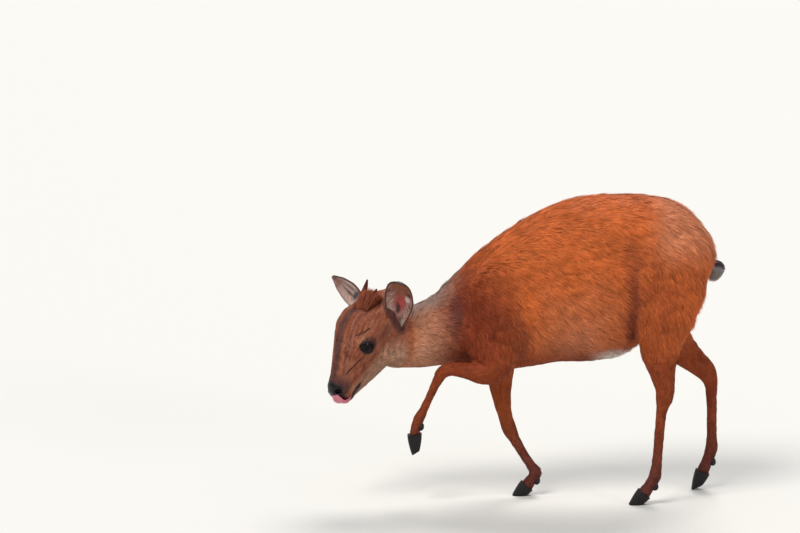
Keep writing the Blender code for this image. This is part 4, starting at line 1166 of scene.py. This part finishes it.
def eye_ball(label, centre, look, along, rise):
    """The ball in its socket, with a mask for the iris."""
    ball = bmesh.new()
    bmesh.ops.create_uvsphere(ball, u_segments=48, v_segments=32, radius=EYE_RADIUS - 0.1 * MM)
    mesh = bpy.data.meshes.new("eye")
    ball.to_mesh(mesh)
    ball.free()
    flat = points_of(mesh)
    set_points(mesh, centre + flat[:, :1] * along + flat[:, 1:2] * rise + flat[:, 2:] * look)
    mesh.polygons.foreach_set("use_smooth", np.ones(len(mesh.polygons), bool))
    off = np.linalg.norm(flat[:, :2], axis=1)
    iris = np.where(flat[:, 2] > 0, 1 - smooth(IRIS - 1 * MM, IRIS, off), 0)
    set_attribute(mesh, "iris", np.stack([iris, iris, iris], 1))
    item = new_object("eye_ball_" + label, mesh)
    item.data.materials.append(ball_look)
    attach(item, "root")
    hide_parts("eye_" + label)


# %% Lids
LID_AROUND, LID_ROWS, LID_TUFTS = 96, 16, 1600


def eyelid(label, centre, look, along, rise):
    """One shell over the ball, open in an almond, with its bare rim as a mask."""
    angle = np.linspace(0, 2 * math.pi, LID_AROUND, endpoint=False)
    px = LID_WIDTH * np.cos(angle)
    py = LID_HEIGHT * np.sign(np.sin(angle)) * np.abs(np.sin(angle)) ** 1.35
    inner = np.arcsin(np.hypot(px, py) / (EYE_RADIUS + 0.2 * MM))
    way = np.arctan2(py, px)
    out = np.linspace(0, 1, LID_ROWS)[:, None] ** 1.6
    lean = inner + (math.radians(100) - inner) * out
    reach = EYE_RADIUS + np.interp(out[:, 0] * LID_AT[-1], LID_AT, LID_OFF)[:, None] * MM
    spots = centre + ((reach * np.sin(lean) * np.cos(way))[..., None] * along
                      + (reach * np.sin(lean) * np.sin(way))[..., None] * rise
                      + (reach * np.cos(lean))[..., None] * look)
    index = np.arange(LID_ROWS * LID_AROUND).reshape(LID_ROWS, LID_AROUND)
    after = np.roll(index, -1, axis=1)
    faces = np.stack([index[:-1], index[1:], after[1:], after[:-1]], -1).reshape(-1, 4)
    if np.cross(along, rise).dot(look) < 0:
        faces = faces[:, ::-1]
    spots = spots.reshape(-1, 3)
    mesh = mesh_from("lid", spots, faces)
    layer = mesh.uv_layers.new(name="OFBake")
    corner = np.stack([way / 7 + 0.5 + 0 * out, 0.2 + 0.6 * out + 0 * way], -1).reshape(-1, 2)
    layer.data.foreach_set("uv", corner[faces.ravel()].astype(np.float32).ravel())
    item = new_object("eyelid_" + label, mesh)
    item.data.materials.append(skin.data.materials[0])
    set_marks(mesh, marks(spots))
    corners = 4.5 * np.abs(np.cos(way)) ** 8
    rim = (1 - smooth(3.4, 5.4, out * LID_AT[-1] - corners)).ravel()
    set_attribute(mesh, "bare", np.stack([0 * rim, rim, 0 * rim], 1))
    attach(item, "root")
    return item


def lid_hair(label, lid, centre, look, along, rise):
    """Short hair on a lid, outside its bare rim."""
    root, over, spot = scatter(lid, LID_TUFTS, lambda points: 1.0, rng)
    off = (root - centre) @ look
    wide = np.hypot((root - centre) @ along / LID_WIDTH, (root - centre) @ rise / LID_HEIGHT)
    keep = (off > 2 * MM) & (wide > 1.30)
    root, over, spot = root[keep], unit(root[keep] - centre), spot[keep]
    lengths = rng.uniform(2.2, 3.6, len(root)) * MM
    tufts("lid_hair_" + label, root, over, lie(root, over), lengths, 0.45 * MM, 0.16, spot,
          marks(root), rng.random(len(root)), rng)


for side, label in ((1, "left"), (-1, "right")):
    centre = on_head(EYE_AT[0], EYE_AT[1], side * EYE_AT[2])
    axes = eye_axes(side)
    eye_ball(label, centre, *axes)
    lid_hair(label, eyelid(label, centre, *axes), centre, *axes)
    print("eye", label)

# %% [markdown]
# ## Horns, hooves and dew claws
# These keep their solids, because their shape is right, and only get their finish. Both
# are keratin. A horn is a sheath that has grown ring by ring and weathered: dark
# red-brown, dull, with a coarse grain. A hoof is the same stuff, worn by the ground:
# nearly black, a little smoother, with a finer grain.

# %% Hard parts
horn_look = grained_material("horn_keratin_weathered", "#2C0D07", "#5A2413", 0.60, 1.6, 0.35,
                             sockets=(("Specular IOR Level", 0.10),))
hoof_look = grained_material("hoof_keratin_worn", "#0A0809", "#1A1515", 0.48, 0.9, 0.20,
                             sockets=(("Specular IOR Level", 0.3),))
for name, item in nodes.items():
    hoof = "hoof" in name or "claw" in name
    if hoof or name.startswith("horn"):
        item.data.materials.clear()
        item.data.materials.append(hoof_look if hoof else horn_look)
        print(name, "in", item.data.materials[0].name)

# %% [markdown]
# ## Tongue
# The animal licks its nose: a flat blade of muscle leaves the mouth on the near side and
# curls up over the lip. The solid's tongue is a thin plain strip, so it is drawn again,
# thicker, as rings along a finer curve, with a groove down its middle. Its surface is wet
# flesh, finely pebbled, pink because blood shows through it, with a clear film that shines.

# %% Tongue
# along the tongue: place in the head's axes, half thickness and half width
TONGUE = (
    (0.150, -0.0378, 0.004, 0.0013, 0.0085), (0.163, -0.0366, 0.0070, 0.0018, 0.0100),
    (0.1730, -0.0345, 0.0100, 0.0026, 0.0106), (0.1785, -0.0302, 0.0115, 0.0031, 0.0106),
    (0.1798, -0.0240, 0.0115, 0.0030, 0.0096), (0.1782, -0.0178, 0.0110, 0.0024, 0.0080),
    (0.1760, -0.0132, 0.0105, 0.0014, 0.0046),
)


curve = smooth_curve(TONGUE, 40)
line = np.array([on_head(*row[:3]) for row in curve])
run = unit(np.gradient(line, axis=0))
seen = head_way(0.147, 0.641, 0.754)
twist = smooth(0.25, 0.65, np.linspace(0, 1, len(run)))[:, None]
flat_way = unit(np.cross(seen, run[-8]))
wide_way = unit(LEFT * (1 - 0.35 * twist) + flat_way * 0.35 * twist * np.sign(flat_way @ LEFT))
lift_way = unit(np.cross(wide_way, run))
turn = np.linspace(0, 2 * math.pi, 28, endpoint=False)
across = np.cos(turn)[None, :, None] * curve[:, 4][:, None, None]
groove = 1 - 0.55 * np.exp(-(np.cos(turn) / 0.16) ** 2) * (np.sin(turn) > 0)
deep = (np.sin(turn) * groove)[None, :, None] * curve[:, 3][:, None, None]
rings = line[:, None] + across * wide_way[:, None] + deep * lift_way[:, None]
tongue = new_object("tongue_blade", closed_loft("tongue", rings))
tongue.data.materials.append(grained_material(
    "wet_tongue_flesh", "#CC7582", "#B04E62", 0.28, 0.6, 0.10, sockets=(
        ("Coat Weight", 0.5), ("Subsurface Weight", 0.2), ("Subsurface Scale", 2 * MM))))
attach(tongue, "root")
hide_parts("tongue")
print("tongue of", len(tongue.data.polygons), "faces")

# %% [markdown]
# ## Tail and crest
# The tail is a short stalk of flesh hidden by hair that is longer than the coat's, dark
# with a white tip. A tuft of long red and dark hair stands between the horns. Both could
# be grown with the coat, but their hair stands away from the skin in locks, so each lock
# is laid from its own root to its own tip.

# %% Tail
# middle of the tail and its half thickness, from the rump to the tip
TAIL = (
    ((0.268, 0.000, 0.366), 0.0120), ((0.284, 0.006, 0.364), 0.0110),
    ((0.2945, 0.022, 0.359), 0.0095), ((0.297, 0.040, 0.353), 0.0085),
    ((0.296, 0.054, 0.347), 0.0055),
)
curve = smooth_curve([(*place, thick) for place, thick in TAIL], 30)
line = curve[:, :3] - SHIFT
run = unit(np.gradient(line, axis=0))
first = unit(np.cross(run, np.array((0.0, 0.0, 1.0))))
second = np.cross(first, run)
turn = np.linspace(0, 2 * math.pi, 20, endpoint=False)
ways_out = first[:, None] * np.cos(turn)[None, :, None] + second[:, None] * np.sin(turn)[None, :, None]
rings = line[:, None] + ways_out * (curve[:, 3] * 0.55)[:, None, None]
tail = new_object("tail_dock", closed_loft("tail", rings))
tail.data.materials.append(grained_material("tail_skin_haired", "#3A2A2C", "#55372F", 0.7, 1.0, 0.2))
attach(tail, "root")
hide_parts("tail")


# the turn, in radians, that spreads a spiral of points evenly
SPIRAL = 2.399


def strands(name, roots, tips, outward, width, masks, rng, bend):
    """Long narrow locks from roots to tips, each bent along its outward way."""
    count = len(roots)
    runs = tips - roots
    lengths = np.linalg.norm(runs, axis=1)
    normals = unit(outward - unit(runs) * (outward * unit(runs)).sum(1, keepdims=True))
    turn, out = np.arange(count) * SPIRAL, 0.4 * np.sqrt(np.arange(count) / count)
    places = np.stack([0.5 + out * np.cos(turn), 0.5 + out * np.sin(turn)], 1)
    tufts(name, roots, normals, unit(runs), lengths, width, bend, places, masks,
          rng.random(count), rng, 1.0)


# %% Tail hair
TAIL_LOCKS, TAIL_LOCK_WIDTH = 2600, 1.1 * MM
count = TAIL_LOCKS
at = rng.uniform(0.12, 1.0, count) ** 0.8
k = (at * 29).astype(int)
angle = rng.uniform(0, 2 * math.pi, count)
out = first[k] * np.cos(angle)[:, None] + second[k] * np.sin(angle)[:, None]
root = line[k] + out * (curve[k, 3] * 0.5)[:, None]
reach = (0.010 + 0.016 * at)[:, None]
tip = root + run[k] * reach + out * reach * 0.33 - np.array((0, 0, 0.12)) * reach
pale_tip = smooth(0.90, 0.98, at)
under = smooth(0.2, -0.4, out[:, 2])
masks = np.stack([np.zeros(count), 1.0 - 0.9 * pale_tip, np.zeros(count),
                  np.maximum(0.9 * pale_tip, 0.20 * under)], 1)
strands("tail_hair", root, tip, out, TAIL_LOCK_WIDTH, masks, rng, 0.15)
print("tail with", count, "locks")

# %% Crest
CREST_LOCKS, CREST_LOCK_WIDTH = 1100, 0.9 * MM
count = CREST_LOCKS
back_share = rng.random(count)
f = 0.048 - 0.028 * back_share
l = rng.uniform(-0.006, 0.021, count)
root = np.array([on_head(*row) for row in np.stack([f, crown(f, l) - 0.003, l], 1)])
reach = (0.012 + 0.013 * bump(back_share, 0.50, 0.60)) * rng.uniform(0.70, 1.15, count)
tip = root + np.outer(reach * rng.uniform(0.15, 0.50, count), UP) - np.outer(
    reach * 0.95, FORWARD) + np.outer(reach * 0.22 + rng.normal(0, 0.0025, count), LEFT)
out = np.outer(np.ones(count), FORWARD) * 0.6 + np.outer(np.ones(count), UP)
masks = np.stack([np.full(count, 0.05), rng.random(count) ** 1.5 * 0.85,
                  rng.uniform(0.35, 0.95, count), np.zeros(count)], 1)
strands("crest_hair", root, tip, out, CREST_LOCK_WIDTH, masks, rng, 0.12)
print("crest with", count, "locks")

# %% [markdown]
# ## Studio
# The animal stands on a pale matt floor, painted and rolled, which runs past the edges
# of the picture. Lamps near the animal would leave a pool of light on it. So the three
# lights are far off like the sun, each as wide as a lamp with a diffuser, and the floor
# is evenly lit: a key from the front left and above, a weak fill from the right, and a
# back light that draws the edge of the coat. The world adds an even sky.

# %% Studio
ground = bmesh.new()
bmesh.ops.create_grid(ground, x_segments=1, y_segments=1, size=40.0)
mesh = bpy.data.meshes.new("floor")
ground.to_mesh(mesh)
ground.free()
floor = new_object("floor", mesh)
floor.data.materials.append(
    grained_material("matt_floor_paint", "#C6C4BF", "#CAC8C3", 0.8, 4.0, 0.05, 0.1))


def soft_sun(name, place, strength, colour, degrees):
    """A far soft light that shines from place towards the animal."""
    data = bpy.data.lights.new(name, "SUN")
    data.angle = math.radians(degrees)
    data.energy, data.color = strength, colour
    item = new_object(name, data)
    item.location = place
    item.rotation_mode = "QUATERNION"
    item.rotation_quaternion = (Vector((0.0, 0.0, 0.25)) - Vector(place)).to_track_quat("-Z", "Y")


soft_sun("key_light", (-1.4, -1.9, 3.2), 2.3, (1.0, 0.97, 0.93), 25)
soft_sun("fill_light", (2.6, -2.6, 1.4), 0.5, (0.92, 0.96, 1.0), 13)
soft_sun("back_light", (0.5, 1.7, 2.7), 2.2, (1.0, 0.98, 0.95), 27)
world = bpy.data.worlds.new("studio")
bpy.context.scene.world = world
world.use_nodes = True
world.node_tree.nodes["Background"].inputs["Color"].default_value = linear("#DDE4EC")
world.node_tree.nodes["Background"].inputs["Strength"].default_value = 0.62
bpy.context.scene.view_settings.view_transform = "Standard"

# %% [markdown]
# ## Camera
# The photograph was taken from far off with a long lens, so parts near and far keep
# their size. A flat view without any perspective would do nearly as well. A lens from
# eight metres, ten degrees above level, frames the animal as the photograph does: 650
# pixels to the metre across an 800 pixel picture.

# %% Camera
SCALE = 650.0
ELEVATION = math.radians(10)
DISTANCE = 8.0
aim = Vector(((400 - 525) / SCALE, 0.0, (498 - 266.5) / SCALE / math.cos(ELEVATION))) - Vector(SHIFT)
camera = bpy.data.cameras.new("camera")
camera.sensor_width = 36.0
camera.lens = camera.sensor_width * DISTANCE / (800 / SCALE)
camera.clip_end = 200.0
view = new_object("camera", camera)
view.location = aim + Vector((0, -math.cos(ELEVATION), math.sin(ELEVATION))) * DISTANCE
view.rotation_euler = (math.pi / 2 - ELEVATION, 0.0, 0.0)
bpy.context.scene.camera = view
print("lens of", round(camera.lens), "mm")
